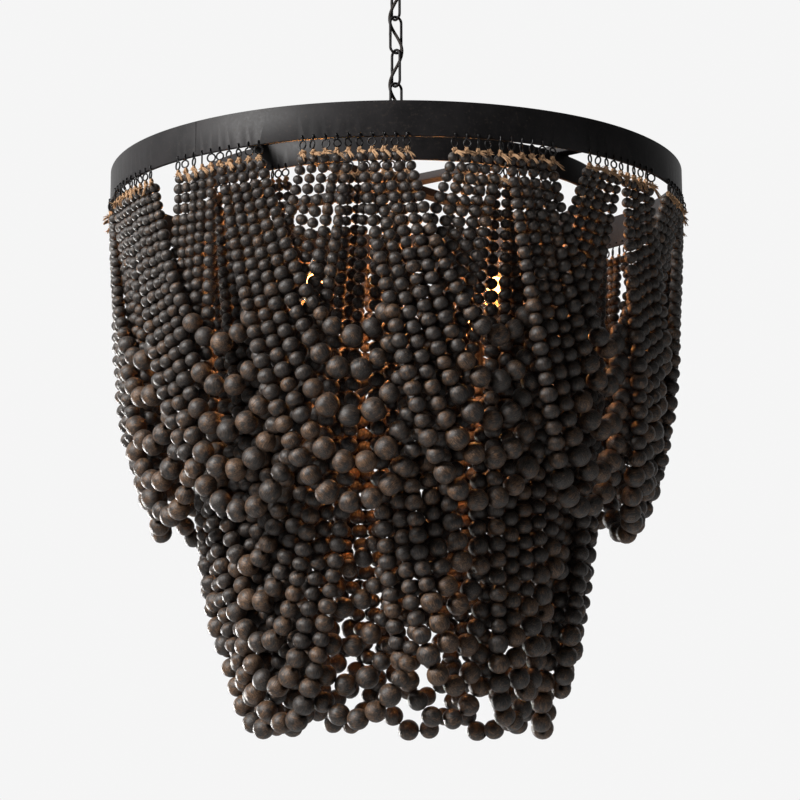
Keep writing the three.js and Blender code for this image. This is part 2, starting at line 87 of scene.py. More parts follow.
# A swag is given by the numbers of its left and right end and its extra depth. room is the widest radius
# of a bead's outer side, for depths below the frame's top. shorter says how much higher a swag's longest
# string hangs.
OUTER = dict(name="outer", radius=RING_RADIUS - RING_WALL / 2, wall=RING_WALL, band=RING_BAND, clusters=13,
             cluster_ends=(2,), turn=-7.5, pitch=11.2, first=220.5, step=39.5,
             layer_fall=85.0, layer_start=22.0, layer_step=20.0, stagger=2.0,
             room=((54, 306), (161, 304), (269, 297), (333, 283), (376, 262), (450, 240)),
             swags=[(2 * k + 1, 2 * k + 4, 0) for k in range(13)], shorter={})
LOWER = dict(name="lower", radius=INNER_RADIUS - INNER_WALL / 2, wall=INNER_WALL,
             band=ARM_HEIGHT + SEAT_GAP + INNER_BAND, clusters=9, cluster_ends=(2, 3, 3), turn=-6.5,
             pitch=8.0, first=418.0, step=38.6,
             layer_fall=36.0, layer_start=28.0, layer_step=22.0, stagger=0.0,
             room=((60, 226), (398, 214), (463, 205), (506, 196), (549, 182), (570, 169), (620, 150)),
             swags=[(1, 4, 0), (3, 6, 0), (5, 8, 0), (7, 10, -12), (9, 12, 0), (11, 14, 0),
                    (13, 16, 0), (15, 18, -12), (17, 23, 22), (19, 22, 16), (20, 24, -12), (21, 26, 8)],
             shorter={9: 27.0, 10: 12.0, 12: 12.0})

# Camera, fitted to the edges of both rings: film in millimetres, place in metres, turns in radians
CAMERA_LENS, CAMERA_FILM, CAMERA_SIGHT = 108.92, 36, 200
CAMERA_PLACE, CAMERA_TILT, CAMERA_ROLL = (0.0019, -2.5287, -0.9308), 0.1613, 0.0033

# Disc lights: name, place, width, power and colour, in metres and watts
LIGHT_TARGET = (0, 0, -0.6)
LIGHTS = (("key", (-3.1, -2.0, 1.3), 1.1, 272, (1.0, 0.985, 0.97)),
          ("fill", (3.4, -1.8, -0.2), 2.2, 5, (0.97, 0.98, 1.0)),
          ("rim", (-2.3, 3.2, -1.3), 1.0, 120, (1.0, 0.99, 0.97)))
GLOW_RISE, GLOW_POWER, GLOW_SHINE, GLOW_SIZE, GLOW_COLOUR = 24, 1.3, 0.35, 0.012, (1.0, 0.38, 0.11)
FILAMENT_STRENGTH = 3.5

# Studio: an even fill, the white that the camera sees, and the pale side and dark rest that gloss mirrors
STUDIO_TINT, STUDIO_FILL, STUDIO_WHITE, STUDIO_DARK = (1.0, 0.985, 0.965), 0.075, 0.915, 0.055
STUDIO_SIDE, STUDIO_FADE = (-0.55, 0.83, -0.05), (-0.1, 0.7)
FLOOR_HALF, FLOOR_HEIGHT, FLOOR_GLOW, FLOOR_MIRRORED = 60.0, -3.6, 0.7, 0.3


class Nodes:
    """Adds nodes to a tree. An input takes a number, a vector, a colour or another node's output."""

    def __init__(self, tree):
        self.tree = tree

    def put(self, slot, value):
        if isinstance(value, bpy.types.NodeSocket):
            self.tree.links.new(value, slot)
        elif isinstance(value, tuple) and slot.type == "RGBA":
            slot.default_value = (*value, 1)
        else:
            slot.default_value = value

    def node(self, kind, inputs=None, **settings):
        made = self.tree.nodes.new(kind)
        for key, value in settings.items():
            setattr(made, key, value)
        for key, value in (inputs or {}).items():
            self.put(made.inputs[key], value)
        return made

    def math(self, operation, *values):
        return self.node("ShaderNodeMath", dict(enumerate(values)), operation=operation).outputs[0]

    def mix_shader(self, factor, a, b):
        return self.node("ShaderNodeMixShader", {0: factor, 1: a, 2: b}).outputs[0]

    def ray_kinds(self):
        """What is seen by the camera or through glass, and what is seen mirrored."""
        path = self.node("ShaderNodeLightPath").outputs
        return self.math("MAXIMUM", path["Is Camera Ray"], path["Is Transmission Ray"]), path["Is Glossy Ray"]


class Look(Nodes):
    """A material round its Principled shader; it keeps the name of a slot, which this script doesn't use."""

    def __init__(self, name, slot, roughness=0.5, metallic=0.0, specular=0.5, ior=1.5, transmission=0.0):
        self.slot = slot
        self.material = bpy.data.materials.new(name)
        self.material.use_nodes = True
        super().__init__(self.material.node_tree)
        self.shader = next(n for n in self.tree.nodes if n.type == "BSDF_PRINCIPLED")
        values = {"Roughness": roughness, "Metallic": metallic, "Specular IOR Level": specular, "IOR": ior,
                  "Transmission Weight": transmission}
        for label, value in values.items():
            self.put(self.shader.inputs[label], value)
        self.place = None

    def coordinates(self):
        """Position in the part's own frame, in millimetres."""
        if self.place is None:
            source = self.node("ShaderNodeTexCoord").outputs["Object"]
            scaled = self.node("ShaderNodeVectorMath", {0: source, "Scale": 1 / MM}, operation="SCALE")
            self.place = scaled.outputs[0]
        return self.place

    def attribute(self, name):
        return self.node("ShaderNodeAttribute", attribute_name=name).outputs["Vector"]

    def split(self, vector):
        return self.node("ShaderNodeSeparateXYZ", {0: vector}).outputs

    def noise(self, vector, scale, detail=3, roughness=0.55, distortion=0.0, stretch=None):
        vector = self.coordinates() if vector is None else vector
        if stretch:
            vector = self.node("ShaderNodeMapping", {"Vector": vector, "Scale": stretch}).outputs[0]
        inputs = {"Vector": vector, "Scale": scale, "Detail": detail, "Roughness": roughness,
                  "Distortion": distortion}
        return self.node("ShaderNodeTexNoise", inputs).outputs["Fac"]

    def ramp(self, factor, *stops):
        """Colours or greys at places from 0 to 1."""
        made = self.node("ShaderNodeValToRGB", {0: factor})
        elements = made.color_ramp.elements
        while len(elements) < len(stops):
            elements.new(0.5)
        for element, (at, colour) in zip(elements, stops):
            element.position = at
            element.color = (*colour, 1) if isinstance(colour, tuple) else (colour, colour, colour, 1)
        return made.outputs[0]

    def mix(self, factor, a, b, blend="MIX"):
        made = self.node("ShaderNodeMix", {0: factor, 6: a, 7: b}, data_type="RGBA", blend_type=blend)
        return made.outputs[2]

    def weighted(self, *parts):
        """The sum of sources, each times its weight."""
        total, *rest = [self.math("MULTIPLY", source, weight) for source, weight in parts]
        for term in rest:
            total = self.math("ADD", total, term)
        return total

    def finish(self, colour, rough=None, bump=None):
        """Connects the colour, rough as (source, least, most) and bump as (source, millimetres, strength)."""
        self.put(self.shader.inputs["Base Color"], colour)
        if rough:
            made = self.node("ShaderNodeMapRange", dict(zip(("Value", "To Min", "To Max"), rough)))
            self.put(self.shader.inputs["Roughness"], made.outputs[0])
        if bump:
            height, depth, strength = bump
            inputs = {"Height": height, "Distance": depth * MM, "Strength": strength}
            made = self.node("ShaderNodeBump", inputs)
            self.put(self.shader.inputs["Normal"], made.outputs[0])
        return self


# Materials
def iron_look():
    """Blackened iron: mottled dark patina, brown where it is handled, a little cast grain."""
    look = Look("black_iron", "black_metal", specular=0.18)
    fine = look.noise(None, 0.35, 5, 0.65)
    grain = look.noise(None, 1.6, 3, 0.6)
    broad = look.noise(None, 0.03, 4)
    patina = look.ramp(broad, (0.35, (0.009, 0.0085, 0.0092)), (0.62, (0.018, 0.0165, 0.0175)))
    worn = look.ramp(fine, (0.56, 0.0), (0.74, 1.0))
    relief = look.weighted((fine, 0.5), (grain, 0.5))
    return look.finish(look.mix(worn, patina, (0.036, 0.029, 0.025)), (fine, 0.40, 0.60), (relief, 0.16, 0.4))


def steel_look():
    """Zinc plated steel with a fine brushed grain and cloudy plating."""
    look = Look("plated_steel", "steel", roughness=0.35, metallic=1.0)
    lines = look.noise(None, 1.0, stretch=(0.15, 3.0, 3.0))
    colour = look.ramp(look.noise(None, 0.08, 4), (0.3, (0.42, 0.43, 0.45)), (0.7, (0.60, 0.60, 0.59)))
    return look.finish(colour, (lines, 0.26, 0.48), (lines, 0.06, 0.5))


def bead_look():
    """Dark stained wood: grain that follows each bead, brown where the stain has worn, satin finish, and
    painted shade darkening each bead's ends round its holes, where the next beads touch.
    """
    look = Look("bead_wood", "bead_wood", roughness=0.55)
    grain = look.attribute("grain")
    tone, wear, edge = look.split(look.attribute("bead"))
    streaks = look.noise(grain, 0.95, 4, 0.66, 0.5, stretch=(1.0, 1.0, 0.13))
    fibre = look.noise(grain, 2.4, 3, 0.6, stretch=(1.0, 1.0, 0.10))
    cloud = look.noise(grain, 0.16, 3, 0.6)
    dark = look.mix(tone, (0.0080, 0.0078, 0.0082), (0.0215, 0.0197, 0.0192))
    stain = look.mix(look.ramp(streaks, (0.44, 0.0), (0.60, 1.0)), dark, (0.064, 0.047, 0.036))
    bare = look.ramp(streaks, (0.35, (0.034, 0.018, 0.010)), (0.64, (0.175, 0.098, 0.052)))
    patch = look.weighted((cloud, 1.0), (wear, 0.26), (edge, 0.08))
    colour = look.mix(look.ramp(patch, (0.60, 0.0), (0.80, 1.0)), stain, bare)
    mottle = look.noise(grain, 0.75, 5, 0.75, stretch=(1.0, 1.0, 0.35))
    colour = look.mix(1.0, colour, look.ramp(mottle, (0.40, 0.55), (0.56, 1.15), (0.70, 2.2)), "MULTIPLY")
    # painted shade: the ends round the drilled holes, where neighbouring beads shade each other, are darkened
    # nearly to black
    painted_shade_at_holes = look.math("MULTIPLY", look.ramp(edge, (0.70, 0.0), (1.0, 1.0)), 0.85)
    colour = look.mix(painted_shade_at_holes, colour, (0.006, 0.0055, 0.005))
    return look.finish(colour, (look.weighted((cloud, 0.4), (streaks, 0.6)), 0.32, 0.56),
                       (look.weighted((streaks, 0.7), (fibre, 0.3)), 0.7, 0.9))


def fibre_look(name, dark, light, scale):
    """Twisted plant fibre."""
    look = Look(name, "jute", roughness=0.85, specular=0.25)
    strand = look.noise(None, scale, 4, 0.65)
    colour = look.ramp(strand, (0.34, dark), (0.66, light))
    shaded = look.math("MULTIPLY", look.noise(None, 0.12, 2), 0.5)
    colour = look.mix(shaded, colour, tuple(0.6 * v for v in dark))
    return look.finish(colour, (strand, 0.7, 0.95), (strand, 0.25, 0.7))


def wire_look():
    look = Look("black_wire", "black_metal", roughness=0.38, specular=0.25)
    fine = look.noise(None, 0.9)
    colour = look.ramp(fine, (0.35, (0.004, 0.004, 0.005)), (0.7, (0.011, 0.010, 0.010)))
    return look.finish(colour, (fine, 0.28, 0.5), (fine, 0.05, 0.5))


def braid_look():
    """Cloth covered flex: two sets of threads that cross over each other round the cord."""
    look = Look("cloth_braid", "flex", roughness=0.8, specular=0.3)
    turn, run, _ = look.split(look.attribute("braid"))
    turn = look.math("MULTIPLY", turn, 6.0)
    left, right = (look.math("SINE", look.math("MULTIPLY", look.math(sense, turn, run), 2 * pi))
                   for sense in ("ADD", "SUBTRACT"))
    weave = look.math("ADD", look.math("MULTIPLY", look.math("MULTIPLY", left, right), 0.5), 0.5)
    colour = look.ramp(weave, (0.1, (0.012, 0.010, 0.009)), (0.75, (0.040, 0.034, 0.030)))
    colour = look.mix(look.math("MULTIPLY", look.noise(None, 2.2), 0.4), colour, (0.055, 0.046, 0.040))
    return look.finish(colour, (weave, 0.65, 0.9), (weave, 0.25, 0.8))


def sleeve_look():
    """Dark waxed card sleeve with a slight drip relief."""
    look = Look("candle_sleeve", "candle_sleeve", roughness=0.45, specular=0.45)
    drip = look.noise(None, 0.22, stretch=(1.0, 1.0, 0.18))
    colour = look.ramp(drip, (0.35, (0.020, 0.016, 0.013)), (0.7, (0.052, 0.040, 0.031)))
    return look.finish(colour, (look.noise(None, 0.8), 0.35, 0.6), (drip, 0.5, 0.6))


def brass_look():
    look = Look("brass_base", "brass_base", roughness=0.3, metallic=1.0)
    cloud = look.noise(None, 0.4, 4)
    colour = look.ramp(cloud, (0.3, (0.42, 0.27, 0.10)), (0.7, (0.68, 0.50, 0.24)))
    return look.finish(colour, (cloud, 0.22, 0.45), (cloud, 0.05, 0.4))


def glass_look():
    """Clear glass with a faint warm tint."""
    look = Look("bulb_glass", "bulb_glass", roughness=0.02, ior=1.45, transmission=1.0)
    cloud = look.noise(None, 0.05, 2)
    colour = look.ramp(cloud, (0.3, (1.0, 0.90, 0.72)), (0.7, (1.0, 0.95, 0.84)))
    return look.finish(colour, bump=(cloud, 0.05, 0.2))


def filament_look():
    look = Look("filament", "bulb_glass", roughness=0.4)
    tint = look.ramp(look.noise(None, 0.6, 2), (0.2, (1.0, 0.46, 0.14)), (0.8, (1.0, 0.66, 0.30)))
    look.put(look.shader.inputs["Emission Color"], tint)
    look.put(look.shader.inputs["Emission Strength"], FILAMENT_STRENGTH)
    return look.finish(tint)


# Camera, stage and light
def add_object(name, data):
    made = bpy.data.objects.new(name, data)
    bpy.context.scene.collection.objects.link(made)
    return made


def add_camera():
    data = bpy.data.cameras.new("camera")
    data.lens = CAMERA_LENS
    data.sensor_width = CAMERA_FILM
    data.clip_end = CAMERA_SIGHT
    camera = add_object("camera", data)
    camera.location = CAMERA_PLACE
    camera.rotation_euler = (pi / 2 + CAMERA_TILT, CAMERA_ROLL, 0)
    bpy.context.scene.camera = camera


def add_world():
    """A pale studio: even white for the camera, pale at the back left for gloss, and a weak fill."""
    world = bpy.data.worlds.new("studio")
    bpy.context.scene.world = world
    world.use_nodes = True
    nodes = Nodes(world.node_tree)
    nodes.tree.nodes.clear()
    heading = nodes.node("ShaderNodeTexCoord").outputs["Generated"]
    side = nodes.node("ShaderNodeVectorMath", {0: heading, 1: Vector(STUDIO_SIDE).normalized()},
                      operation="DOT_PRODUCT").outputs["Value"]
    inputs = {"Value": side, "From Min": STUDIO_FADE[0], "From Max": STUDIO_FADE[1], "To Min": STUDIO_DARK,
              "To Max": STUDIO_WHITE}
    shade = nodes.node("ShaderNodeMapRange", inputs, interpolation_type="SMOOTHSTEP").outputs[0]
    kinds = ((STUDIO_TINT, STUDIO_FILL), (shade, 1.0), ((STUDIO_WHITE,) * 3, 1.0))
    fill, mirrored, seen = (
        nodes.node("ShaderNodeBackground", {"Color": colour, "Strength": strength}).outputs[0]
        for colour, strength in kinds)
    direct, glossy = nodes.ray_kinds()
    both = nodes.mix_shader(direct, nodes.mix_shader(glossy, fill, mirrored), seen)
    nodes.node("ShaderNodeOutputWorld", {0: both})
    bpy.context.scene.view_settings.view_transform = "Standard"


def add_lights():
    for name, place, size, power, colour in LIGHTS:
        data = bpy.data.lights.new(name, "AREA")
        data.shape = "DISK"
        data.size = size
        data.energy = power
        data.color = colour
        lamp = add_object(name, data)
        lamp.location = place
        lamp.rotation_euler = (Vector(LIGHT_TARGET) - Vector(place)).to_track_quat("-Z", "Y").to_euler()
    for i in range(4):
        data = bpy.data.lights.new(f"glow_{i + 1}", "POINT")
        data.energy = GLOW_POWER
        data.specular_factor = GLOW_SHINE
        data.color = GLOW_COLOUR
        data.shadow_soft_size = GLOW_SIZE
        place = around(ARM_TURN + 90 * i, LAMP_REACH, RING_TOP - SLEEVE_TOP + GLOW_RISE)
        add_object(data.name, data).location = [v * MM for v in place]


def add_floor():
    """The camera sees it nearly white and gloss a little darker, with the object's shadow still on it."""
    mesh = bpy.data.meshes.new("floor")
    corners = ((-1, -1), (1, -1), (1, 1), (-1, 1))
    mesh.from_pydata([(x * FLOOR_HALF, y * FLOOR_HALF, FLOOR_HEIGHT) for x, y in corners], [], [(0, 1, 2, 3)])
    floor = add_object("floor", mesh)
    look = Look("floor_paint", None, roughness=0.9)
    pale = look.ramp(look.noise(None, 3.0), (0.3, 0.86), (0.7, 0.89))
    direct, glossy = look.ray_kinds()
    seen = look.math("MAXIMUM", direct, look.math("MULTIPLY", glossy, FLOOR_MIRRORED))
    glow = look.node("ShaderNodeEmission", {"Color": pale}).outputs[0]
    both = look.mix_shader(look.math("MULTIPLY", seen, FLOOR_GLOW), look.shader.outputs[0], glow)
    look.put(next(n for n in look.tree.nodes if n.type == "OUTPUT_MATERIAL").inputs["Surface"], both)
    mesh.materials.append(look.finish(pale).material)


# Mesh helpers; lengths in millimetres
def around(angle, radius, height):
    """Degrees from -Y towards +X."""
    return (radius * sin(angle * DEGREE), -radius * cos(angle * DEGREE), height)


class Build:
    """Collects vertices and faces of one piece."""

    def __init__(self):
        self.points, self.faces, self.count = [], [], 0

    def add(self, points, faces):
        self.points.append(np.asarray(points, float))
        self.faces.extend(tuple(int(i) + self.count for i in face) for face in faces)
        self.count += len(points)
        return self

    def turned(self, *form, **more):
        return self.add(*lathe(*form, **more))

    def tube(self, *form, **more):
        return self.add(*sweep(*form, **more))

    def mesh(self, name):
        mesh = bpy.data.meshes.new(name)
        mesh.from_pydata((np.concatenate(self.points) * MM).tolist(), [], self.faces)
        return mesh

    def piece(self, name, body, look, *replaced, sharp=None):
        return dress(self.mesh(name), name, body, look, *replaced, sharp=sharp)


def dress(mesh, name, body, look, *replaced, sharp=None):
    """Makes a mesh a piece on a body, smooth but for edges over sharp degrees, in place of CAD nodes."""
    mesh.validate()
    mesh.polygons.foreach_set("use_smooth", [True] * len(mesh.polygons))
    if sharp is not None:
        mesh.set_sharp_from_angle(angle=sharp * DEGREE)
    mesh.materials.append(look.material)
    mesh.update()
    made = add_object(name, mesh)
    if body:
        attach(made, body)
    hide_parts(*replaced)
    return made


def final_mesh(holder):
    """The mesh that an object ends as; the object itself goes."""
    bpy.context.view_layer.update()
    mesh = bpy.data.meshes.new_from_object(holder.evaluated_get(bpy.context.evaluated_depsgraph_get()))
    bpy.data.objects.remove(holder)
    return mesh


def screw_thread(radius, depth, pitch, low=-1e9, high=1e9):
    """Shape for lathe that cuts a thread into what is as wide as radius, between two heights."""
    def shape(r, z, a):
        if r < radius - 0.1 or z < low or z >= high:
            return r
        return r - depth * (0.5 + 0.5 * sin(2 * pi * z / pitch + a))
    return shape


def lathe(profile, segments, centre=(0, 0), closed=False, shape=None):
    """Turned form from [radius, height] points; points on the axis become one vertex."""
    points, rows = [], []
    for radius, height in profile:
        row = []
        if radius < 1e-9:
            row = [len(points)] * segments
            points.append((centre[0], centre[1], height))
        else:
            for k in range(segments):
                angle = 2 * pi * k / segments
                r = radius if shape is None else shape(radius, height, angle)
                row.append(len(points))
                points.append((centre[0] + r * cos(angle), centre[1] + r * sin(angle), height))
        rows.append(row)
    faces = []
    pairs = list(zip(rows, rows[1:])) + ([(rows[-1], rows[0])] if closed else [])
    for low, high in pairs:
        for k in range(segments):
            n = (k + 1) % segments
            face = []
            for index in (low[k], low[n], high[n], high[k]):
                if index not in face:
                    face.append(index)
            if len(face) > 2:
                faces.append(tuple(face))
    return points, faces


def rounded(profile, radius, steps=3, closed=False):
    """Rounds each corner of a profile by up to radius."""
    result, count = [], len(profile)
    for i, (x, y) in enumerate(profile):
        if not closed and i in (0, count - 1):
            result.append((x, y))
            continue
        before, after = Vector(profile[i - 1]), Vector(profile[(i + 1) % count])
        corner = Vector((x, y))
        a, b = before - corner, after - corner
        reach = min(radius, a.length * 0.45, b.length * 0.45)
        start, end = corner + a.normalized() * reach, corner + b.normalized() * reach
        for k in range(steps + 1):
            t = k / steps
            place = (1 - t) ** 2 * start + 2 * t * (1 - t) * corner + t * t * end
            result.append((place.x, place.y))
    return result


def sweep(points, radii, sides, closed=False):
    """Tube through points, with a frame carried along it; in a closed one its twist is spread all round."""
    points = np.asarray(points, float)
    count = len(points)
    radii = np.broadcast_to(np.asarray(radii, float), (count,))
    if closed:
        along = np.roll(points, -1, 0) - np.roll(points, 1, 0)
    else:
        along = np.gradient(points, axis=0)
    along /= np.linalg.norm(along, axis=1)[:, None]
    side = np.cross(along[0], (0.31, 0.17, 0.93))
    side /= np.linalg.norm(side)
    first = np.empty_like(along)
    for i, t in enumerate(along):
        side = side - t * side.dot(t)
        side /= np.linalg.norm(side)
        first[i] = side
    if closed:
        second_end = np.cross(along[0], first[0])
        last = first[-1] - along[0] * first[-1].dot(along[0])
        twist = atan2(last.dot(second_end), last.dot(first[0]))
        spin = -twist * np.arange(count) / count
        other = np.cross(along, first)
        first = first * np.cos(spin)[:, None] + other * np.sin(spin)[:, None]
    second = np.cross(along, first)
    angles = (2 * pi * np.arange(sides) / sides)[None, :, None]
    ring = first[:, None] * np.cos(angles) + second[:, None] * np.sin(angles)
    places = (points[:, None] + ring * radii[:, None, None]).reshape(-1, 3)
    faces = []
    for i in range(count if closed else count - 1):
        n = (i + 1) % count
        for k in range(sides):
            m = (k + 1) % sides
            faces.append((i * sides + k, i * sides + m, n * sides + m, n * sides + k))
    if not closed:
        faces.append(tuple(range(sides - 1, -1, -1)))
        faces.append(tuple(range((count - 1) * sides, count * sides)))
    return places, faces


def smooth_curve(points, count):
    """Catmull-Rom curve resampled to count points."""
    points = [Vector(p) for p in points]
    points = [2 * points[0] - points[1]] + points + [2 * points[-1] - points[-2]]
    result = []
    spans = len(points) - 3
    for i in range(count):
        u = i / (count - 1) * spans
        k = min(int(u), spans - 1)
        t = u - k
        a, b, c, d = points[k:k + 4]
        result.append(0.5 * ((2 * b) + (c - a) * t + (2 * a - 5 * b + 4 * c - d) * t * t
                             + (3 * b - a - 3 * c + d) * t ** 3))
    return result


# Metal frame
def add_hoop(name, radius, band, wall, top, tier, node, seam, iron):
    """Steel hoop with softened edges, a row of drilled holes and the seam where its ends are welded."""
    bottom = top - band
    profile = [(radius - wall, bottom), (radius, bottom), (radius, top), (radius - wall, top)]

    def uneven(r, z, angle):
        wave = 0.18 * sin(5 * angle + 1) + 0.12 * sin(11 * angle + z * 0.05)
        return r - 0.3 + wave

    form = Build().turned(rounded(profile, 0.7, 2, closed=True), 240, closed=True, shape=uneven)
    hoop = add_object(name, form.mesh(name))
    drills = Build()
    for angle in string_angles(tier):
        across = Vector(around(angle, 1, 0))
        middle = Vector(around(angle, radius - wall / 2, bottom + HOLE_ABOVE_EDGE))
        drills.tube([middle - across * wall, middle + across * wall], HOLE_RADIUS, 10)
    cutter = add_object("drills", drills.mesh("drills"))
    cut = hoop.modifiers.new("holes", "BOOLEAN")
    cut.operation = "DIFFERENCE"
    cut.solver = "EXACT"
    cut.object = cutter
    final = final_mesh(hoop)
    bpy.data.objects.remove(cutter)
    dress(final, name, "fixture", iron, node, sharp=35)
    rows = 26
    path = [around(seam + 0.02 * sin(3 * i), radius - 0.35, top - 1.0 - (band - 2.0) * i / (rows - 1))
            for i in range(rows)]
    radii = [0.55 + 0.18 * sin(2.1 * i) for i in range(rows)]
    Build().tube(path, radii, 8).piece(name + "_seam", "fixture", iron)


def add_arm_bar(number, length, matrix, iron):
    """A flat bar with softened edges that isn't quite straight."""
    name = f"arm_bar_{number}"
    made = bmesh.new()
    bmesh.ops.create_cube(made, size=1)
    bmesh.ops.scale(made, vec=(ARM_WIDTH, length, ARM_HEIGHT - 0.3), verts=made.verts)
    lengthwise = [e for e in made.edges if abs(e.verts[0].co.y - e.verts[1].co.y) > ARM_WIDTH]
    bmesh.ops.subdivide_edges(made, edges=lengthwise, cuts=14)
    corners = [e for e in made.edges if e.calc_face_angle(0) > 1]
    bmesh.ops.bevel(made, geom=corners, offset=1.2, segments=3, affect="EDGES", profile=0.6)
    for v in made.verts:
        v.co.z += 0.12 * sin(v.co.y * 0.06 + v.co.x) - 0.12
        v.co.x += 0.10 * sin(v.co.y * 0.09 + 2)
    made.transform(Matrix.Scale(MM, 4) @ matrix)
    mesh = bpy.data.meshes.new(name)
    made.to_mesh(mesh)
    made.free()
    dress(mesh, name, "fixture", iron, f"arm_{number}", sharp=40)


def weld_line(build, points, radius, seed):
    """A lumpy row of weld beads along points."""
    phase = np.random.default_rng(seed).uniform(0, 6)
    path = smooth_curve(points, 28)
    build.tube(path, [radius * (1 + 0.22 * sin(i * 1.9 + phase)) for i in range(len(path))], 8)


def add_arms(iron):
    start = HUB_RADIUS + SEAT_GAP
    end = RING_RADIUS - RING_WALL - 0.9
    centre = Matrix.Translation((0, -(start + end) / 2, RING_TOP - ARM_HEIGHT / 2))
    half = ARM_WIDTH / 2 / RING_RADIUS / DEGREE
    inner = half * RING_RADIUS / INNER_RADIUS + 0.1
    inside = RING_RADIUS - RING_WALL - 1.2
    low, high, under = RING_TOP - ARM_HEIGHT + 0.2, RING_TOP - 1.6, RING_TOP - ARM_HEIGHT - 0.3
    welds = Build()
    for i in range(4):
        turn = ARM_TURN + 90 * i
        add_arm_bar(i + 1, end - start, Matrix.Rotation(turn * DEGREE, 4, "Z") @ centre, iron)
        across = ((-half, low), (0, low - 0.2), (half, low))
        weld_line(welds, [around(turn + side, inside, z) for side, z in across], 1.5, i)
        for side in (-half, half):
            weld_line(welds, [around(turn + side, inside, z) for z in (low, high)], 1.3, 10 + i)
        for side in (-inner, inner):
            weld_line(welds, [around(turn + side, INNER_RADIUS - r, under) for r in (3.2, 0.8)], 1.2, 20 + i)
    welds.piece("arm_welds", "fixture", iron)


def loop_points(base, end, turn, steps=20):
    """A wire loop on two legs, from base to end along Z, in a plane turned from X."""
    half = (LOOP_WIDTH - LOOP_WIRE) / 2
    sense = 1 if end > base else -1
    centre = end - sense * half
    across = Vector((cos(turn * DEGREE), sin(turn * DEGREE), 0))
    middle = (base + centre) / 2
    points = [across * -half + Vector((0, 0, z)) for z in (base, middle)]
    for i in range(steps + 1):
        angle = pi * (1 - i / steps)
        points.append(across * half * cos(angle) + Vector((0, 0, centre + sense * half * sin(angle))))
    points += [across * half + Vector((0, 0, z)) for z in (middle, base)]
    return [tuple(p) for p in points]


def contact(i):
    """Height at which link i meets the next one."""
    return -CHAIN_TOP - LINK_PITCH * i


def add_chain(iron):
    half = (LINK_WIDTH - LINK_WIRE) / 2
    reach = (LINK_PITCH + LINK_WIRE + SEAT_GAP) / 2
    steps, run = 16, 8
    for i in range(1, LINK_COUNT + 1):
        middle = (contact(i - 1) + contact(i)) / 2
        turn = LINK_TURNS[i % 2] * DEGREE
        points, radii = [], []
        for sense in (1, -1):
            for k in range(steps + 1):
                angle = pi * k / steps
                out = sense * half * cos(angle)
                height = middle + sense * (reach - half + half * sin(angle))
                points.append((out * cos(turn), out * sin(turn), height))
                radii.append(LINK_WIRE / 2)
            # the straight side, with the swelling of the butt weld on one of them
            out = -sense * half
            for k in range(1, run):
                height = middle + sense * (reach - half) * (1 - 2 * k / run)
                swell = 0.16 * exp(-((height - middle) / 2.2) ** 2) if sense > 0 else 0
                points.append((out * cos(turn), out * sin(turn), height))
                radii.append(LINK_WIRE / 2 + swell)
        node = f"chain_link_{i}"
        Build().tube(points, radii, 14, closed=True).piece(f"link_{i}", node, iron, node)


def cord_point(height):
    """Where the cord's middle is at a height: it weaves through the links and runs straight at its ends."""
    middle = (LINK_TURNS[0] + LINK_TURNS[1]) / 2 * DEGREE
    phase = pi * (-CHAIN_TOP - height) / LINK_PITCH
    fade = min((-COLLAR_BOTTOM - height) / (CHAIN_TOP - COLLAR_BOTTOM), 1)
    ease = fade * fade * (3 - 2 * fade)
    wave = cos(pi * LINK_COUNT) if height < contact(LINK_COUNT) else cos(phase)
    swing = CORD_SWING * ease * wave
    return (swing * cos(middle), swing * sin(middle), height)


def add_cord(braid):
    """The flex between ceiling and fixture, in one stretch per joint of the chain."""
    links = range(1, LINK_COUNT + 1)
    cuts = [-COLLAR_BOTTOM - SEAT_GAP] + [(contact(i - 1) + contact(i)) / 2 for i in links]
    cuts.append(RING_TOP + HUB_RISE + SEAT_GAP)
    sides, blend_half = 14, 9
    for i, (top, bottom) in enumerate(zip(cuts, cuts[1:])):
        steps = max(10, int((top - bottom) / 1.4))
        heights = np.linspace(top, bottom, steps + 1)
        build = Build().tube([cord_point(h) for h in heights], CORD_RADIUS - 0.03, sides)
        piece = build.piece(f"flex_{i + 1}", None, braid, "lamp_cord")
        values = np.zeros((len(piece.data.vertices), 3), np.float32)
        for row, height in enumerate(heights):
            for k in range(sides):
                values[row * sides + k] = (1 - abs(2 * k / sides - 1), height / 3.2, 0)
        layer = piece.data.attributes.new("braid", "FLOAT_VECTOR", "POINT")
        layer.data.foreach_set("vector", values.ravel())
        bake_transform(piece)


def add_hub(iron):
    top, bottom = RING_TOP + HUB_RISE, RING_TOP - ARM_HEIGHT - HUB_DROP
    profile = [(0, bottom), (HUB_RADIUS - 1.6, bottom), (HUB_RADIUS, bottom + 1.6), (HUB_RADIUS, top - 1.6),
               (HUB_RADIUS - 1.6, top), (15.0, top), (14.2, top - 0.5), (0, top - 0.5)]
    Build().turned(rounded(profile, 0.8), 72).piece("hub_disc", "fixture", iron, "hub", sharp=50)
    highest = contact(LINK_COUNT) + SEAT_GAP / 2 + LOOP_WIRE / 2
    points = loop_points(top + SEAT_GAP, highest, LINK_TURNS[(LINK_COUNT + 1) % 2])
    loop = Build().tube(smooth_curve(points, 60), LOOP_WIRE / 2, 16)
    weld = [(LOOP_WIRE / 2 + r, top + z) for r, z in ((1.7, -0.2), (0.5, 2.2), (-0.1, 3.4))]
    for point in (points[0], points[-1]):
        loop.turned(weld, 24, centre=point[:2], shape=lambda r, z, a: r * (1 + 0.05 * sin(7 * a)))
    loop.piece("hub_eye", "fixture", iron, "hub_loop")


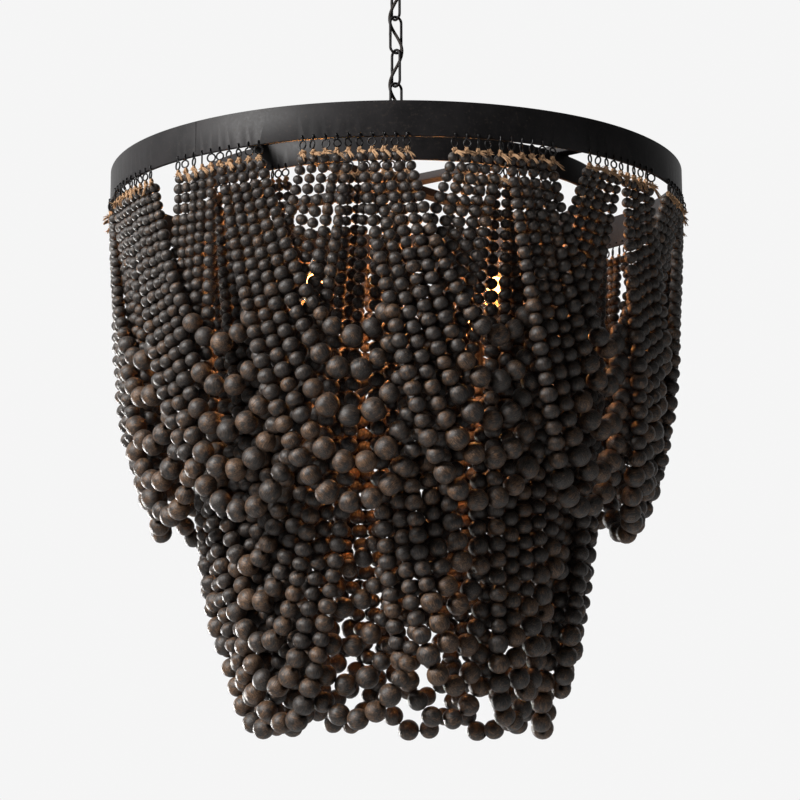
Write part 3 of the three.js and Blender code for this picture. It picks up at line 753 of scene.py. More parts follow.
def add_strap(steel):
    """Strap with two slots: a flat curve with its holes, thickened and softened."""
    curve = bpy.data.curves.new("strap", "CURVE")
    curve.dimensions = "2D"
    curve.fill_mode = "BOTH"
    soft = 0.3
    x, y = BAR_LENGTH / 2 - soft, BAR_WIDTH / 2 - soft
    hole = NIPPLE_RADIUS + SEAT_GAP + soft
    outlines = [rounded([(-x, -y), (x, -y), (x, y), (-x, y)], 2.5, 6, closed=True),
                [(hole * cos(a), hole * sin(a)) for a in np.linspace(0, 2 * pi, 36, endpoint=False)]]
    run, r = (SLOT_LENGTH - SLOT_WIDTH) / 2, SLOT_WIDTH / 2 + soft
    for middle in (-SLOT_OFFSET, SLOT_OFFSET):
        outlines.append([(middle + sense * run + sense * r * cos(a), sense * r * sin(a))
                         for sense in (1, -1) for a in np.linspace(-pi / 2, pi / 2, 12)])
    for points in outlines:
        spline = curve.splines.new("POLY")
        spline.points.add(len(points) - 1)
        for point, (x, y) in zip(spline.points, points):
            point.co = (x * MM, y * MM, 0, 1)
        spline.use_cyclic_u = True
    curve.extrude = (BAR_THICKNESS / 2 - soft) * MM
    curve.bevel_depth = soft * MM
    curve.bevel_resolution = 2
    mesh = final_mesh(add_object("strap", curve))
    mesh.transform(Matrix.Translation((0, 0, -BAR_THICKNESS / 2 * MM)))
    mesh.materials.clear()
    dress(mesh, "ceiling_strap", "ceiling", steel, "crossbar", sharp=40)


def add_nipple(steel):
    pitch = 1.0
    rows = int(NIPPLE_LENGTH / pitch * 8)
    profile = [(NIPPLE_BORE, -NIPPLE_LENGTH)]
    profile += [(NIPPLE_RADIUS, -NIPPLE_LENGTH + NIPPLE_LENGTH * k / rows) for k in range(rows + 1)]
    profile += [(NIPPLE_BORE, 0)]
    build = Build().turned(profile, 40, closed=True, shape=screw_thread(NIPPLE_RADIUS, 0.28, pitch))
    build.piece("threaded_nipple", "ceiling", steel, "nipple", sharp=60)


def add_collar(iron):
    """Threaded collar with the loop that carries the chain."""
    low, high, rows = -COLLAR_BOTTOM, -COLLAR_TOP, 72
    socket = NIPPLE_RADIUS + SEAT_GAP
    profile = [(NIPPLE_BORE, low), (COLLAR_RADIUS - 1.5, low), (COLLAR_RADIUS, low + 1.5)]
    profile += [(COLLAR_RADIUS, low + 3 + (high - low - 4) * k / rows) for k in range(rows + 1)]
    profile += [(COLLAR_RADIUS - 0.8, high), (socket, high)]
    profile += [(socket, high - COLLAR_SOCKET), (NIPPLE_BORE, high - COLLAR_SOCKET)]
    build = Build().turned(profile, 56, closed=True, shape=screw_thread(COLLAR_RADIUS, 0.3, 1.4, low + 3))
    lowest = -CHAIN_TOP - SEAT_GAP / 2 - LOOP_WIRE / 2
    build.tube(smooth_curve(loop_points(low + 2, lowest, LINK_TURNS[0]), 60), LOOP_WIRE / 2, 16)
    build.piece("ceiling_collar", "ceiling", iron, "collar_loop", sharp=50)


def add_canopy(iron):
    """Spun cup with a rolled rim."""
    corner, rise = CANOPY_RADIUS - CANOPY_SHOULDER, CANOPY_DEPTH - CANOPY_SHOULDER
    quarter = [pi / 2 * k / 14 for k in range(15)]
    rim = ((0.9, 0.0), (0.1, 0.7), (0.0, 1.6), (0.2, 2.6), (0.7, 3.1))
    outside = [(CANOPY_RADIUS - r, 0 - z) for r, z in rim]
    outer, inner = CANOPY_SHOULDER - 0.7, CANOPY_SHOULDER - CANOPY_WALL
    outside += [(corner + outer * cos(a), -rise - CANOPY_SHOULDER * sin(a)) for a in quarter]
    step = ((9, 0), (9 - 1.5, 0.35), (0.4, 0.35), (0, 0.7), (0, CANOPY_WALL))
    mouth = [(CANOPY_HOLE + r, -CANOPY_DEPTH + z) for r, z in step]
    inside = [(corner + inner * cos(a), -rise - inner * sin(a)) for a in reversed(quarter)]
    inside.append((CANOPY_RADIUS - CANOPY_WALL - 0.4, 0.0))
    build = Build().turned(outside + mouth + inside, 128, closed=True)
    build.piece("canopy_cup", "canopy", iron, "canopy", sharp=50)


def add_ring_nut(iron):
    """Ring nut with a coined grip."""
    bore, top = COLLAR_RADIUS + NUT_BORE_GAP, -CANOPY_DEPTH - SEAT_GAP
    bottom = top - NUT_HEIGHT
    profile = [(bore, bottom), (NUT_RADIUS - NUT_ROLL, bottom), (NUT_RADIUS - 0.5, bottom + 0.8)]
    profile += [(NUT_RADIUS, bottom + NUT_ROLL + (NUT_HEIGHT - 2 * NUT_ROLL) * k / 4) for k in range(4)]
    profile += [(NUT_RADIUS, top - NUT_ROLL), (NUT_RADIUS - 0.5, top - 0.8), (NUT_RADIUS - NUT_ROLL, top)]
    profile.append((bore, top))

    def grip(r, z, a):
        return r - 0.35 * (0.5 + 0.5 * sin(36 * a)) if r > NUT_RADIUS - 0.6 else r

    build = Build().turned(profile, 216, closed=True, shape=grip)
    build.piece("knurled_nut", "ring_nut", iron, "ring_nut", sharp=50)


def add_stem(iron):
    top = RING_TOP - ARM_HEIGHT - HUB_DROP - SEAT_GAP
    bottom = RING_TOP - STEM_END
    profile = [(0, bottom), (STEM_RADIUS, bottom), (STEM_RADIUS, bottom + 5), (STEM_RADIUS - 0.9, bottom + 7),
               (STEM_RADIUS - 0.9, top - 8), (STEM_RADIUS, top - 6), (STEM_RADIUS, top), (0, top)]
    Build().turned(rounded(profile, 0.8), 40).piece("stem_tube", "fixture", iron, "stem", sharp=50)


def add_boss(iron):
    """Turned boss at the foot of the stem, with a ball below it."""
    top = RING_TOP - STEM_END - SEAT_GAP
    bottom = top - BOSS_HEIGHT
    ball, half = bottom - BOSS_NECK, BOSS_NECK / 2
    profile = [(0, top), (BOSS_NECK, top), (BOSS_RADIUS - 1.5, top - half + 1), (BOSS_RADIUS, top - half - 1),
               (BOSS_RADIUS - 0.8, top - 7), (BOSS_RADIUS - 0.8, bottom + 7),
               (BOSS_RADIUS, bottom + half + 1), (BOSS_RADIUS - 2, bottom + half - 1),
               (FINIAL_RADIUS * 0.45, bottom)]
    angles = [pi * k / 14 for k in range(1, 14)]
    profile += [(FINIAL_RADIUS * sin(a), ball + FINIAL_RADIUS * cos(a)) for a in angles]
    profile.append((0, ball - FINIAL_RADIUS))
    build = Build().turned(rounded(profile, 0.6, 2), 48)
    build.piece("lower_boss", "fixture", iron, "lower_hub", sharp=60)


def add_candle(number, turn, iron, sleeve):
    """Curved tube, drip cup and sleeve of one lamp."""
    root, boss_middle = BOSS_RADIUS + SEAT_GAP, RING_TOP - STEM_END - SEAT_GAP - BOSS_HEIGHT / 2
    cup_base = RING_TOP - CUP_BOTTOM
    seat = cup_base - SEAT_GAP
    route = [around(turn, root + SOCKET_ARM_RADIUS, boss_middle),
             around(turn, LAMP_REACH / 2, boss_middle - SOCKET_ARM_DIP),
             around(turn, LAMP_REACH - 2 * CUP_STEM_RADIUS, boss_middle - SOCKET_ARM_DIP / 2),
             around(turn, LAMP_REACH, seat - SOCKET_ARM_RADIUS)]
    ends = [Vector(around(turn, root, boss_middle)), Vector(around(turn, LAMP_REACH, seat))]
    tube = Build().tube(ends[:1] + smooth_curve(route, 48) + ends[1:], SOCKET_ARM_RADIUS * 0.98, 20)
    tube.piece(f"socket_arm_tube_{number}", "fixture", iron, f"socket_arm_{number}", sharp=50)

    place, node = around(turn, LAMP_REACH, 0)[:2], f"candle_{number}"
    dish, rim = cup_base + CUP_STEM_HEIGHT, cup_base + CUP_STEM_HEIGHT + CUP_HEIGHT
    floor = dish + CUP_WALL
    profile = [(0, cup_base), (CUP_STEM_RADIUS, cup_base), (CUP_STEM_RADIUS - 1, dish - 1)]
    profile += [(CUP_RADIUS - r, z) for r, z in (
        (5, dish), (1.5, dish + 4), (0, rim - 0.6), (0.5, rim), (1.5, rim - 0.6), (3.0, dish + 4.5),
        (6, floor))]
    profile += [(SLEEVE_RADIUS - 0.2, floor), (0, floor)]

    def scallop(r, z, a):
        return r - (0.5 + 0.5 * cos(16 * a)) * 0.5 if r > CUP_RADIUS - 3 else r

    cup = Build().turned(rounded(profile, 0.5, 2), 96, centre=place, shape=scallop)
    cup.piece(f"drip_cup_{number}", "fixture", iron, node, sharp=60)

    end = RING_TOP - SLEEVE_TOP
    profile = [(SLEEVE_RADIUS - r, z) for r, z in (
        (0, floor), (0.15, (dish + end) / 2), (0, end - 1.2), (1.0, end - 0.1), (1.8, end), (2.2, end - 3))]
    profile += [(SOCKET_BORE + r, end - z) for r, z in ((1.2, 3), (0.5, 1.5), (0, 2.5), (0, SOCKET_DEPTH))]
    profile.append((0, end - SOCKET_DEPTH))

    def drip(r, z, a):
        if r <= SLEEVE_RADIUS - 0.5:
            return r
        return r - (0.22 + 0.22 * sin(5 * a + 0.05 * z + number - 1) * sin(2 * a + 1.3))

    made = Build().turned(rounded(profile, 0.4, 2), 64, centre=place, shape=drip)
    made.piece(f"sleeve_{number}", "fixture", sleeve, node, sharp=60)


def add_bulb(number, turn, glass, filament, brass):
    place, node = around(turn, LAMP_REACH, 0)[:2], f"bulb_{number}"
    neck = RING_TOP - SLEEVE_TOP + SEAT_GAP
    # share of the length from the neck up, and of the radius there
    shares = ((0, 0.53), (0.05, 0.60), (0.12, 0.78), (0.2, 0.93), (0.3, 1.0), (0.4, 0.99), (0.5, 0.93),
              (0.6, 0.79), (0.7, 0.62), (0.79, 0.44), (0.87, 0.28), (0.94, 0.17), (0.985, 0.09), (1.0, 0.0))
    outside = [(BULB_RADIUS * swell, neck + BULB_LENGTH * rise) for rise, swell in shares]
    inside = [(max(r - GLASS_WALL, 0.0), z) for r, z in outside[:-1]] + [(0.0, outside[-1][1] - GLASS_WALL)]
    # outside goes up to the tip and inside comes back down to the open neck
    envelope = Build().turned(outside + inside[::-1], 48, centre=place)
    envelope.piece(f"bulb_glass_{number}", node, glass, node).visible_shadow = False

    rows, low = 60, neck - BULB_BASE_LENGTH
    profile = [(0, low), (2.2, low), (2.6, low + 0.8), (BULB_BASE_RADIUS - 1.2, low + 2.2)]
    profile += [(BULB_BASE_RADIUS, low + 3 + (BULB_BASE_LENGTH - 5) * k / rows) for k in range(rows + 1)]
    profile += [(BULB_BASE_RADIUS, neck - 1), (BULB_NECK_RADIUS - 0.1, neck), (0, neck + 0.5)]
    screw = screw_thread(BULB_BASE_RADIUS, 0.35, 2.0, high=neck - 2.2)
    base = Build().turned(profile, 40, centre=place, shape=screw)
    base.piece(f"bulb_base_{number}", node, brass, node, sharp=60)

    coil, rows, turns, thick, centre = [], 90, 13, 0.55, neck + 22
    for k in range(rows):
        t = k / (rows - 1)
        a, spin = pi * (0.08 + 0.84 * t), 2 * pi * turns * t
        coil.append((place[0] + 4.2 * cos(a) + thick * cos(spin) * cos(a), place[1] + thick * sin(spin),
                     centre + 5.5 * sin(a) + thick * cos(spin)))
    Build().tube(coil, 0.22, 6).piece(f"bulb_filament_{number}", node, filament)
    stem = [(0, 0.4), (3.0, 0.5), (2.4, 6), (1.6, 11), (2.0, 14), (0, 15)]
    mount = Build().turned([(r, neck + z) for r, z in stem], 20, centre=place)
    for side in (-1, 1):
        wire = [(place[0] + side * x, place[1], neck + z) for x, z in ((0.8, 8), (2.2, 15), (4.2, 23))]
        mount.tube(wire, 0.25, 6)
    mount.piece(f"bulb_mount_{number}", node, glass)


# Strings of beads
def bead_pitch(run, below, large_beads):
    """Length of the bead at run from the string's lowest point: large ones there, small ones at the ring."""
    large_run = large_beads * LARGE / 2
    if run < large_run - 1e-6:
        return LARGE
    if run < large_run + SHOULDER:
        return SHOULDER
    share = min(max((below - GRADE_START) / (GRADE_END - GRADE_START), 0), 1)
    return SMALL + (MIDDLE - SMALL) * share


def trace_string(pull, drop, large_beads):
    """Half a hanging string, up from its lowest point, for one sideways pull; the beads give its weight."""
    out, below, run, weight = 0.0, drop, 0.0, 0.0
    places = [(out, below, run)]
    while below > STRING_TOP + 1e-6:
        size = bead_pitch(run, below, large_beads)
        weight += (size / LARGE) ** 2 * HANG_STEP
        slope = atan2(weight, pull)
        step = min(HANG_STEP, (below - STRING_TOP) / sin(slope))
        out += step * cos(slope)
        below -= step * sin(slope)
        run += step
        places.append((out, below, run))
    return places


def hang_string(half_span, drop, large_beads):
    """Half a string that reaches half_span at the ring; its pull is found by halving."""
    low, high = HANG_STEP / 1000, HANG_STEP * 1000
    for _ in range(50):
        pull = sqrt(low * high)
        places = trace_string(pull, drop, large_beads)
        if places[-1][0] > half_span:
            high = pull
        else:
            low = pull
    return places


def end_angles(tier):
    """Middles of all the swags' ends round a ring, with equal gaps between the clusters."""
    width = STRINGS * tier["pitch"] / tier["radius"] / DEGREE
    counts = [tier["cluster_ends"][i % len(tier["cluster_ends"])] for i in range(tier["clusters"])]
    gap = (360 - sum(counts) * width) / tier["clusters"]
    angles, start = [], tier["turn"] - counts[0] * width / 2
    for count in counts:
        angles += [start + width * (k + 0.5) for k in range(count)]
        start += count * width + gap
    return angles


def swag_spans(tier):
    """Left angle, right angle, extra depth and shortening of every swag."""
    ends = end_angles(tier)
    count = len(ends)
    return [(ends[a], ends[b % count] + 360 * (b // count), depth, tier["shorter"].get(k + 1, 0))
            for k, (a, b, depth) in enumerate(tier["swags"])]


def half_angle(tier, span, number):
    """Half the angle between the two ends of a string, in degrees."""
    rank = number - (STRINGS + 1) / 2
    return (span[1] - span[0]) / 2 + rank * tier["pitch"] / tier["radius"] / DEGREE


def inset(tier, depth, below, across, number):
    """How far a string hangs behind the straight line between its ends, for across from -1 to 1."""
    share = min(max((below - STRING_TOP) / tier["layer_fall"], 0), 1)
    ease = share * share * (3 - 2 * share)
    side = tier["stagger"] if number % 2 == 0 else -tier["stagger"]
    return ease * (tier["layer_start"] + depth + tier["layer_step"] * across + side)


def string_path(tier, span, number):
    """Points of one string from left to right, the index of its lowest point, and its ends' angles."""
    centre, half = (span[0] + span[1]) / 2, half_angle(tier, span, number)
    reach, line = tier["radius"] * sin(half * DEGREE), tier["radius"] * cos(half * DEGREE)
    drop = tier["first"] + tier["step"] * (number - 1) - span[3] * number / STRINGS
    places = hang_string(reach, drop, number)
    points = []
    for sense, row in ((-1, places[::-1]), (1, places[1:])):
        for out, below, _ in row:
            depth = line - inset(tier, span[2], below, sense * out / reach, number)
            angle = atan2(sense * out, depth) / DEGREE
            points.append(around(centre + angle, hypot(out, depth), RING_TOP - below))
    return np.array(points), len(places) - 1, (centre - half, centre + half)


def thread_beads(points, middle, number, local):
    """Beads of slightly different length side by side along a path, out from its lowest point."""
    steps = np.linalg.norm(np.diff(points, axis=0), axis=1)
    run = np.concatenate([[0], np.cumsum(steps)])
    centre = run[middle]
    rows = []
    for sense in (-1, 1):
        total = centre if sense < 0 else run[-1] - centre
        at, size = (LARGE / 2, LARGE) if number % 2 == 0 else (0.0, LARGE)
        beads = []
        while at + size / 2 <= total:
            beads.append((centre + sense * at, size))
            edge = at + size / 2
            below = RING_TOP - np.interp(centre + sense * edge, run, points[:, 2])
            size = bead_pitch(edge + 1e-6, below, number) * min(max(local.normal(1, 0.045), 0.9), 1.1)
            at = edge + size / 2
        rows.append(beads)
    if number % 2 == 1:
        rows[1] = rows[1][1:]
    beads = rows[0][::-1] + rows[1]
    at = np.array([b[0] for b in beads])
    size = np.array([b[1] for b in beads])
    return np.stack([np.interp(at, run, points[:, k]) for k in range(3)], 1), size


def width_share(size):
    """How much wider than long a bead is."""
    return np.interp(size, [SMALL, 12.5, MIDDLE, SHOULDER, LARGE], [1.07, 1.12, 1.13, 1.08, 1.02])


def close_pairs(places, radius, reach):
    """Pairs of beads whose surfaces are nearer than reach, found by sorting them into cells."""
    cell = 2 * radius.max() + reach
    index = np.floor((places - places.min(0)) / cell).astype(np.int64) + 1
    base = index.max() + 2
    key = (index[:, 0] * base + index[:, 1]) * base + index[:, 2]
    order = np.argsort(key, kind="stable")
    ordered = key[order]
    found = []
    steps = (-1, 0, 1)
    for offset in [(x, y, z) for x in steps for y in steps for z in steps if (x, y, z) >= (0, 0, 0)]:
        target = key + (offset[0] * base + offset[1]) * base + offset[2]
        low = np.searchsorted(ordered, target, "left")
        count = np.searchsorted(ordered, target, "right") - low
        first = np.repeat(np.arange(len(places)), count)
        rank = np.arange(len(first)) - np.repeat(np.cumsum(count) - count, count)
        second = order[np.repeat(low, count) + rank]
        keep = first < second if offset == (0, 0, 0) else np.ones(len(first), bool)
        first, second = first[keep], second[keep]
        apart = places[first] - places[second]
        near = (apart * apart).sum(1) < (radius[first] + radius[second] + reach) ** 2
        found.append((first[near], second[near]))
    return np.concatenate([f[0] for f in found]), np.concatenate([f[1] for f in found])


def settle(places, size, string, ends, rooms, seconds):
    """Lets the strings hang and rest against each other, bead by bead, while the beads grow to their size.

    rooms pairs each tier with the slice of its beads, which keep inside the tier's room.
    """
    reach, push_share, room_share, thread_gap = 3.0, 0.6, 0.3, 0.6
    step, damping, gravity, closing_passes = 1 / 600, 0.985, 9810.0, 200
    count = len(places)
    half = size / 2
    wide = half * width_share(size)
    light = 1 / half ** 3
    joined = np.nonzero(string[1:] == string[:-1])[0]
    rows = [joined[joined % 2 == 0], joined[joined % 2 == 1]]
    gap = half[:-1] + half[1:]
    holds = ((np.array([e[0] for e in ends]), np.array([e[2] for e in ends])),
             (np.array([e[1] for e in ends]), np.array([e[3] for e in ends])))

    def contacts(places):
        a, b = close_pairs(places, wide, reach)
        linked = (np.abs(a - b) == 1) & (string[a] == string[b])
        a, b = a[~linked], b[~linked]
        return a, b, (light[a] / (light[a] + light[b]))[:, None]

    def push_apart(places, a, b, share, grown):
        apart = places[a] - places[b]
        distance = np.sqrt((apart * apart).sum(1)) + 1e-9
        push = np.maximum(grown[a] + grown[b] - distance, 0)
        hit = push > 0
        move = apart[hit] / distance[hit, None] * push[hit, None] * push_share
        shift_a, shift_b = move * share[hit], -move * (1 - share[hit])
        for k in range(3):
            places[:, k] += (np.bincount(a[hit], shift_a[:, k], count)
                             + np.bincount(b[hit], shift_b[:, k], count))

    def hold_together(places, even=False):
        for row in rows:
            apart = places[row + 1] - places[row]
            distance = np.sqrt((apart * apart).sum(1))
            stretch = (distance - gap[row]) / distance
            part = 0.5 if even else light[row] / (light[row] + light[row + 1])
            places[row] += apart * np.reshape(stretch * part, (-1, 1))
            places[row + 1] -= apart * np.reshape(stretch * (1 - part), (-1, 1))
        for index, anchor in holds:
            apart = places[index] - anchor
            distance = np.sqrt((apart * apart).sum(1))
            places[index] = anchor + apart * ((half[index] + thread_gap) / distance)[:, None]

    def hold_in(places):
        for tier, own in rooms:
            mine = places[own]
            out = np.hypot(mine[:, 0], mine[:, 1])
            below, widest = np.transpose(tier["room"])
            over = np.maximum(out + wide[own] - np.interp(RING_TOP - mine[:, 2], below, widest), 0)
            places[own, :2] = mine[:, :2] * (1 - room_share * over / out)[:, None]

    before = places.copy()
    total = int(seconds / step)
    for tick in range(total):
        grown = wide * min(1.0, 0.5 + 0.5 * tick / (0.6 * total))
        if tick % 10 == 0:
            a, b, share = contacts(places)
        moved = (places - before) * damping
        before = places.copy()
        places = places + moved
        places[:, 2] -= gravity * step * step
        for _ in range(3):
            push_apart(places, a, b, share, grown)
            hold_in(places)
            hold_together(places)
    for tick in range(closing_passes):
        if tick % 20 == 0:
            a, b, share = contacts(places)
        push_apart(places, a, b, share, wide)
        hold_in(places)
        for _ in range(3):
            hold_together(places, even=True)
    return places


def bead_mesh(name, places, axes, size, segments, rows, seed):
    """Drilled, slightly uneven turned beads, all of one string in one mesh."""
    local = np.random.default_rng(seed)
    count = len(places)
    polar = np.linspace(0.17, pi - 0.17, rows)
    turn = 2 * pi * np.arange(segments) / segments
    tilt = local.normal(0, 0.09, (count, 3))
    axis = axes + tilt
    axis /= np.linalg.norm(axis, axis=1)[:, None]
    helper = np.where(np.abs(axis[:, 2:3]) > 0.9, np.array([[1.0, 0, 0]]), np.array([[0, 0, 1.0]]))
    side = np.cross(axis, helper)
    side /= np.linalg.norm(side, axis=1)[:, None]
    other = np.cross(axis, side)
    spin = local.uniform(0, 2 * pi, count)
    side, other = (side * np.cos(spin)[:, None] + other * np.sin(spin)[:, None],
                   other * np.cos(spin)[:, None] - side * np.sin(spin)[:, None])
    half = size / 2 * local.uniform(0.955, 1.0, count)
    wide = size / 2 * width_share(size) * local.uniform(0.94, 1.02, count)
    # uneven section: an oval, a three-sided swell and a lean of the widest place
    oval = local.uniform(0.0, 0.035, count)[:, None, None]
    three = local.uniform(0.0, 0.018, count)[:, None, None]
    lean = local.normal(0, 0.05, count)[:, None, None]
    phase = local.uniform(0, 6.28, (2, count))[:, :, None, None]
    flat = local.uniform(0.86, 1.0, count)[:, None, None]
    t, p = turn[None, None, :], polar[None, :, None]
    round_out = np.sin(p) ** flat
    swell = 1 + oval * np.cos(2 * (t - phase[0])) + three * np.cos(3 * (t - phase[1])) + lean * np.cos(p)
    radial = wide[:, None, None] * round_out * swell
    height = half[:, None, None] * np.cos(p) * np.ones_like(t)
    x, y = radial * np.cos(t), radial * np.sin(t)
    points = (places[:, None, None] + side[:, None, None] * x[..., None] + other[:, None, None] * y[..., None]
              + axis[:, None, None] * height[..., None])
    per = rows * segments
    ring = np.arange(segments)
    following = (ring + 1) % segments
    quads = []
    for i in range(rows):
        n = (i + 1) % rows
        low, high = i * segments, n * segments
        quads.append(np.stack((low + ring, high + ring, high + following, low + following), 1))
    quads = np.concatenate(quads)[None] + (np.arange(count) * per)[:, None, None]
    quads = quads.reshape(-1, 4)
    mesh = bpy.data.meshes.new(name)
    mesh.vertices.add(count * per)
    mesh.vertices.foreach_set("co", (points.reshape(-1, 3) * MM).astype(np.float32).ravel())
    mesh.loops.add(quads.size)
    mesh.loops.foreach_set("vertex_index", quads.ravel().astype(np.int32))
    mesh.polygons.add(len(quads))
    mesh.polygons.foreach_set("loop_start", np.arange(0, quads.size, 4, dtype=np.int32))
    mesh.update(calc_edges=True)
    # where the wood's grain runs, and each bead's own tone, wear and nearness to its drilled hole, which also
    # sets the painted shade at the bead's ends
    tipped = local.uniform(0, 1, count) < 0.35
    grain = np.stack([x, y, height], -1)
    grain[tipped] = grain[tipped][..., [2, 1, 0]]
    grain += local.uniform(0, 900, (count, 1, 1, 3))
    tone = local.beta(1.6, 2.4, count)
    big = np.interp(size, [SMALL, MIDDLE, LARGE], [0.10, 0.30, 0.62])
    wear = np.clip(big + local.normal(0, 0.24, count), 0, 1)
    edge = np.abs(np.cos(polar)) ** 3
    bead = np.empty((count, rows, segments, 3))
    bead[..., 0] = tone[:, None, None]
    bead[..., 1] = wear[:, None, None]
    bead[..., 2] = edge[None, :, None]
    for label, values in (("grain", grain), ("bead", bead)):
        layer = mesh.attributes.new(label, "FLOAT_VECTOR", "POINT")
        layer.data.foreach_set("vector", values.reshape(-1, 3).astype(np.float32).ravel())
    return mesh


def knot_shape(local, centre, outward, build):
    """An overhand knot of jute round the wire eye, with a flat bunch of frayed tails."""
    outward = Vector(outward)
    up = Vector((0, 0, 1))
    across = up.cross(outward).normalized()
    size = local.uniform(1.25, 1.6)
    spin = local.uniform(0, 6.28)
    lean = local.uniform(-0.5, 0.5)
    points = []
    for k in range(40):
        t = 2 * pi * k / 40
        x = (sin(t) + 2 * sin(2 * t)) * 0.62 * size
        y = (cos(t) - 2 * cos(2 * t)) * 0.62 * size
        z = -sin(3 * t) * 0.75 * size
        x, y = x * cos(spin) - y * sin(spin), x * sin(spin) + y * cos(spin)
        place = centre + across * (x + lean * y) + up * (y * 0.95) + outward * z
        points.append(tuple(place))
    build.tube(points, 0.78 * size, 7, closed=True)
    # the turns that go round the wire eye
    for shift in (-0.7, 0.6):
        loop = [centre + across * (shift + 0.5 * cos(a)) + up * (2.0 + 1.9 * sin(a))
                + outward * (1.5 * cos(a)) for a in np.linspace(-1.2, 4.3, 14)]
        build.tube(loop, 0.68, 6)
    if local.uniform() < 0.9:
        reach = local.uniform(6.5, 13.5)
        side = 1 if local.uniform() < 0.78 else -1
        fall = local.uniform(0.1, 0.95)
        heading = across * side * cos(fall) - up * sin(fall) + outward * local.uniform(0.2, 1.15)
        heading.normalize()
        flatwise = heading.cross(outward).normalized()
        bend = -up * local.uniform(0.0, 4.0) - outward * local.uniform(0.0, 1.5)
        strands = int(local.integers(6, 10))
        for j in range(strands):
            share = j / (strands - 1) - 0.5
            spread = Vector(local.normal(0, 1, 3))
            points = []
            length = reach * local.uniform(0.82, 1.06)
            start = centre + heading * 1.0 + flatwise * (share * 1.6) + spread * 0.2
            for k in range(6):
                u = k / 5
                points.append(tuple(start + heading * length * u + bend * u * u + flatwise * (share * 1.5 * u)
                                    + spread * (0.1 + 0.55 * u * u)))
            build.tube(points, np.linspace(0.62, 0.38, 6), 5)
    for _ in range(int(local.integers(3, 6))):
        heading = across * local.normal(0, 1) - up * local.uniform(-0.4, 1)
        heading = (heading + outward * local.uniform(0.0, 0.9)).normalized()
        spread = Vector(local.normal(0, 0.5, 3))
        length = local.uniform(3.0, 6.5)
        points = [tuple(centre + heading * (1.2 + length * u) + spread * u * u) for u in (0, 0.35, 0.7, 1)]
        build.tube(points, [0.42, 0.36, 0.28, 0.16], 4)


def hook_shape(local, tier, angle, build):
    """Wire eye: through the hole in the band, down its face and round in an open ring."""
    low = RING_TOP - tier["band"]
    inner, outer = tier["radius"] - tier["wall"] / 2, tier["radius"] + tier["wall"] / 2
    hole = low + HOLE_ABOVE_EDGE
    wire, eye = 0.84, local.uniform(3.5, 4.1)
    outward = Vector(around(angle, 1, 0))
    across = Vector((0, 0, 1)).cross(outward).normalized()
    centre = Vector(around(angle, outer - 0.4, low - 5.6)) + across * local.normal(0, 0.5)
    yaw = local.normal(0, 0.6)
    facing = across * cos(yaw) + outward * sin(yaw)
    side = -1 if local.uniform() < 0.6 else 1
    route = ((inner - 1.6, 0.8), (inner - 0.9, 0.2), ((inner + outer) / 2, 0), (outer + 0.5, -0.1),
             (outer + 0.7, -1.4))
    points = [Vector(around(angle, radius, hole + rise)) for radius, rise in route]
    begin, end = pi * 0.62, pi * 2.52
    for k in range(20):
        a = begin + (end - begin) * k / 19
        points.append(centre - facing * side * (-cos(a)) * eye + Vector((0, 0, sin(a) * eye)))
    build.tube(smooth_curve(points, 54), wire, 7)


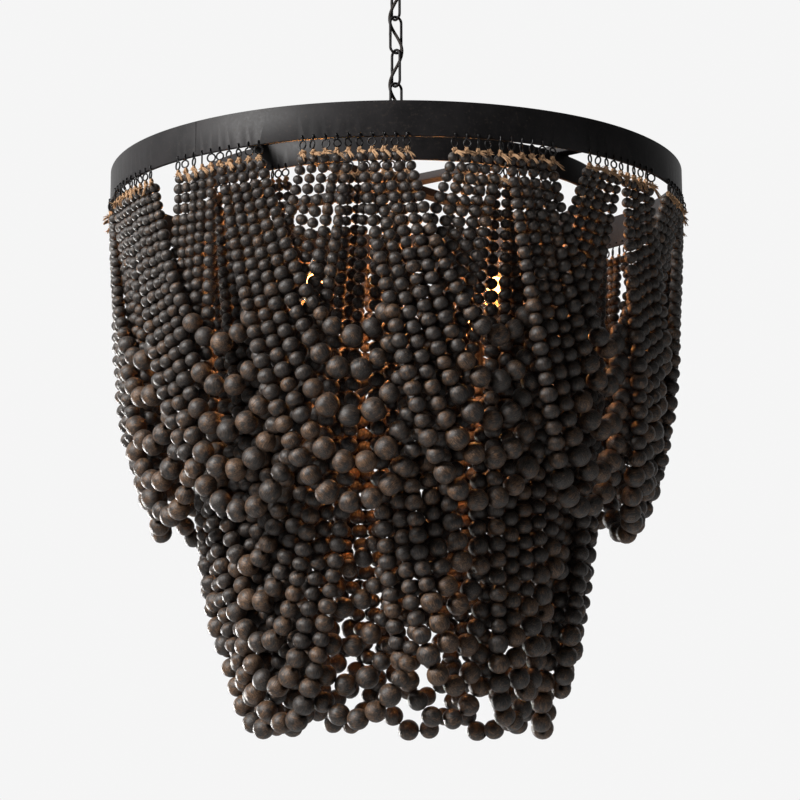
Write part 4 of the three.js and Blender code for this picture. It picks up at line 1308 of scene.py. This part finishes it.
def add_strings(wood, thread, jute, wire):
    """Every swag: five strings of beads, the thread through them, their knots and their wire eyes."""
    hang_seconds, segments, rows = 1.2, 18, 11
    strings, places, sizes, owner, ends = [], [], [], [], []
    count = 0
    for tier in (OUTER, LOWER):
        for k, span in enumerate(swag_spans(tier)):
            for number in range(1, STRINGS + 1):
                points, middle, angles = string_path(tier, span, number)
                at, size = thread_beads(points, middle, number, rng)
                strings.append((tier, k + 1, number, angles, points[0], points[-1], count, count + len(at)))
                owner.append(np.full(len(at), len(strings)))
                ends.append((count, count + len(at) - 1, points[0], points[-1]))
                places.append(at)
                sizes.append(size)
                count += len(at)
    places, sizes, owner = np.concatenate(places), np.concatenate(sizes), np.concatenate(owner)
    first = next(s[6] for s in strings if s[0] is LOWER)
    rooms = ((OUTER, slice(0, first)), (LOWER, slice(first, count)))
    places = settle(places, sizes, owner, ends, rooms, hang_seconds)
    print("beads", count)
    groups = {}
    for index, (tier, k, number, angles, left, right, low, high) in enumerate(strings):
        at, size = places[low:high], sizes[low:high]
        route = np.concatenate([[left], at, [right]])
        axes = np.gradient(route, axis=0)[1:-1]
        axes /= np.linalg.norm(axes, axis=1)[:, None]
        swag = f"{tier['name']}_swag_{k:02d}"
        name = f"{tier['name']}_string_{k:02d}_{number}"
        mesh = bead_mesh(name, at, axes, size, segments, rows, 100 + index)
        dress(mesh, name, "fixture", wood, swag)
        cord, knots, hooks = groups.setdefault(swag, (Build(), Build(), Build()))
        cord.tube(smooth_curve(route, 3 * len(route)), 0.85, 6)
        local = np.random.default_rng(5000 + index)
        for angle, place in zip(angles, (left, right)):
            outward = Vector(around(angle, 1, 0))
            knot_shape(local, Vector(place) + outward * 1.0 + Vector((0, 0, 0.4)), outward, knots)
            hook_shape(local, tier, angle, hooks)
    for swag, (cord, knots, hooks) in groups.items():
        cord.piece(swag.replace("swag", "thread"), "fixture", thread, swag)
        knots.piece(swag.replace("swag", "knots"), "fixture", jute, swag)
        hooks.piece(swag.replace("swag", "eyes"), "fixture", wire, swag)


def string_angles(tier):
    """Where the strings' ends hang, in degrees."""
    angles = []
    for span in swag_spans(tier):
        for number in range(1, STRINGS + 1):
            centre, half = (span[0] + span[1]) / 2, half_angle(tier, span, number)
            angles += [centre - half, centre + half]
    return angles


add_camera()
add_world()
add_cord(braid_look())
iron = iron_look()
steel = steel_look()
wire = wire_look()
add_hoop("outer_hoop", RING_RADIUS, RING_BAND, RING_WALL, RING_TOP, OUTER, "outer_ring", -40.0, iron)
inner_top = RING_TOP - ARM_HEIGHT - SEAT_GAP
add_hoop("inner_hoop", INNER_RADIUS, INNER_BAND, INNER_WALL, inner_top, LOWER, "inner_ring", 150.0, iron)
add_arms(iron)
add_chain(iron)
add_hub(iron)
add_strap(steel)
add_nipple(steel)
add_collar(iron)
add_canopy(iron)
add_ring_nut(iron)
add_stem(iron)
add_boss(iron)
sleeve, glass, filament, brass = sleeve_look(), glass_look(), filament_look(), brass_look()
for lamp in range(4):
    add_candle(lamp + 1, ARM_TURN + 90 * lamp, iron, sleeve)
    add_bulb(lamp + 1, ARM_TURN + 90 * lamp, glass, filament, brass)
thread = fibre_look("string_fibre", (0.030, 0.020, 0.013), (0.085, 0.055, 0.033), 1.4)
jute = fibre_look("jute", (0.27, 0.145, 0.072), (0.74, 0.49, 0.29), 1.8)
add_strings(bead_look(), thread, jute, wire)
add_lights()
add_floor()
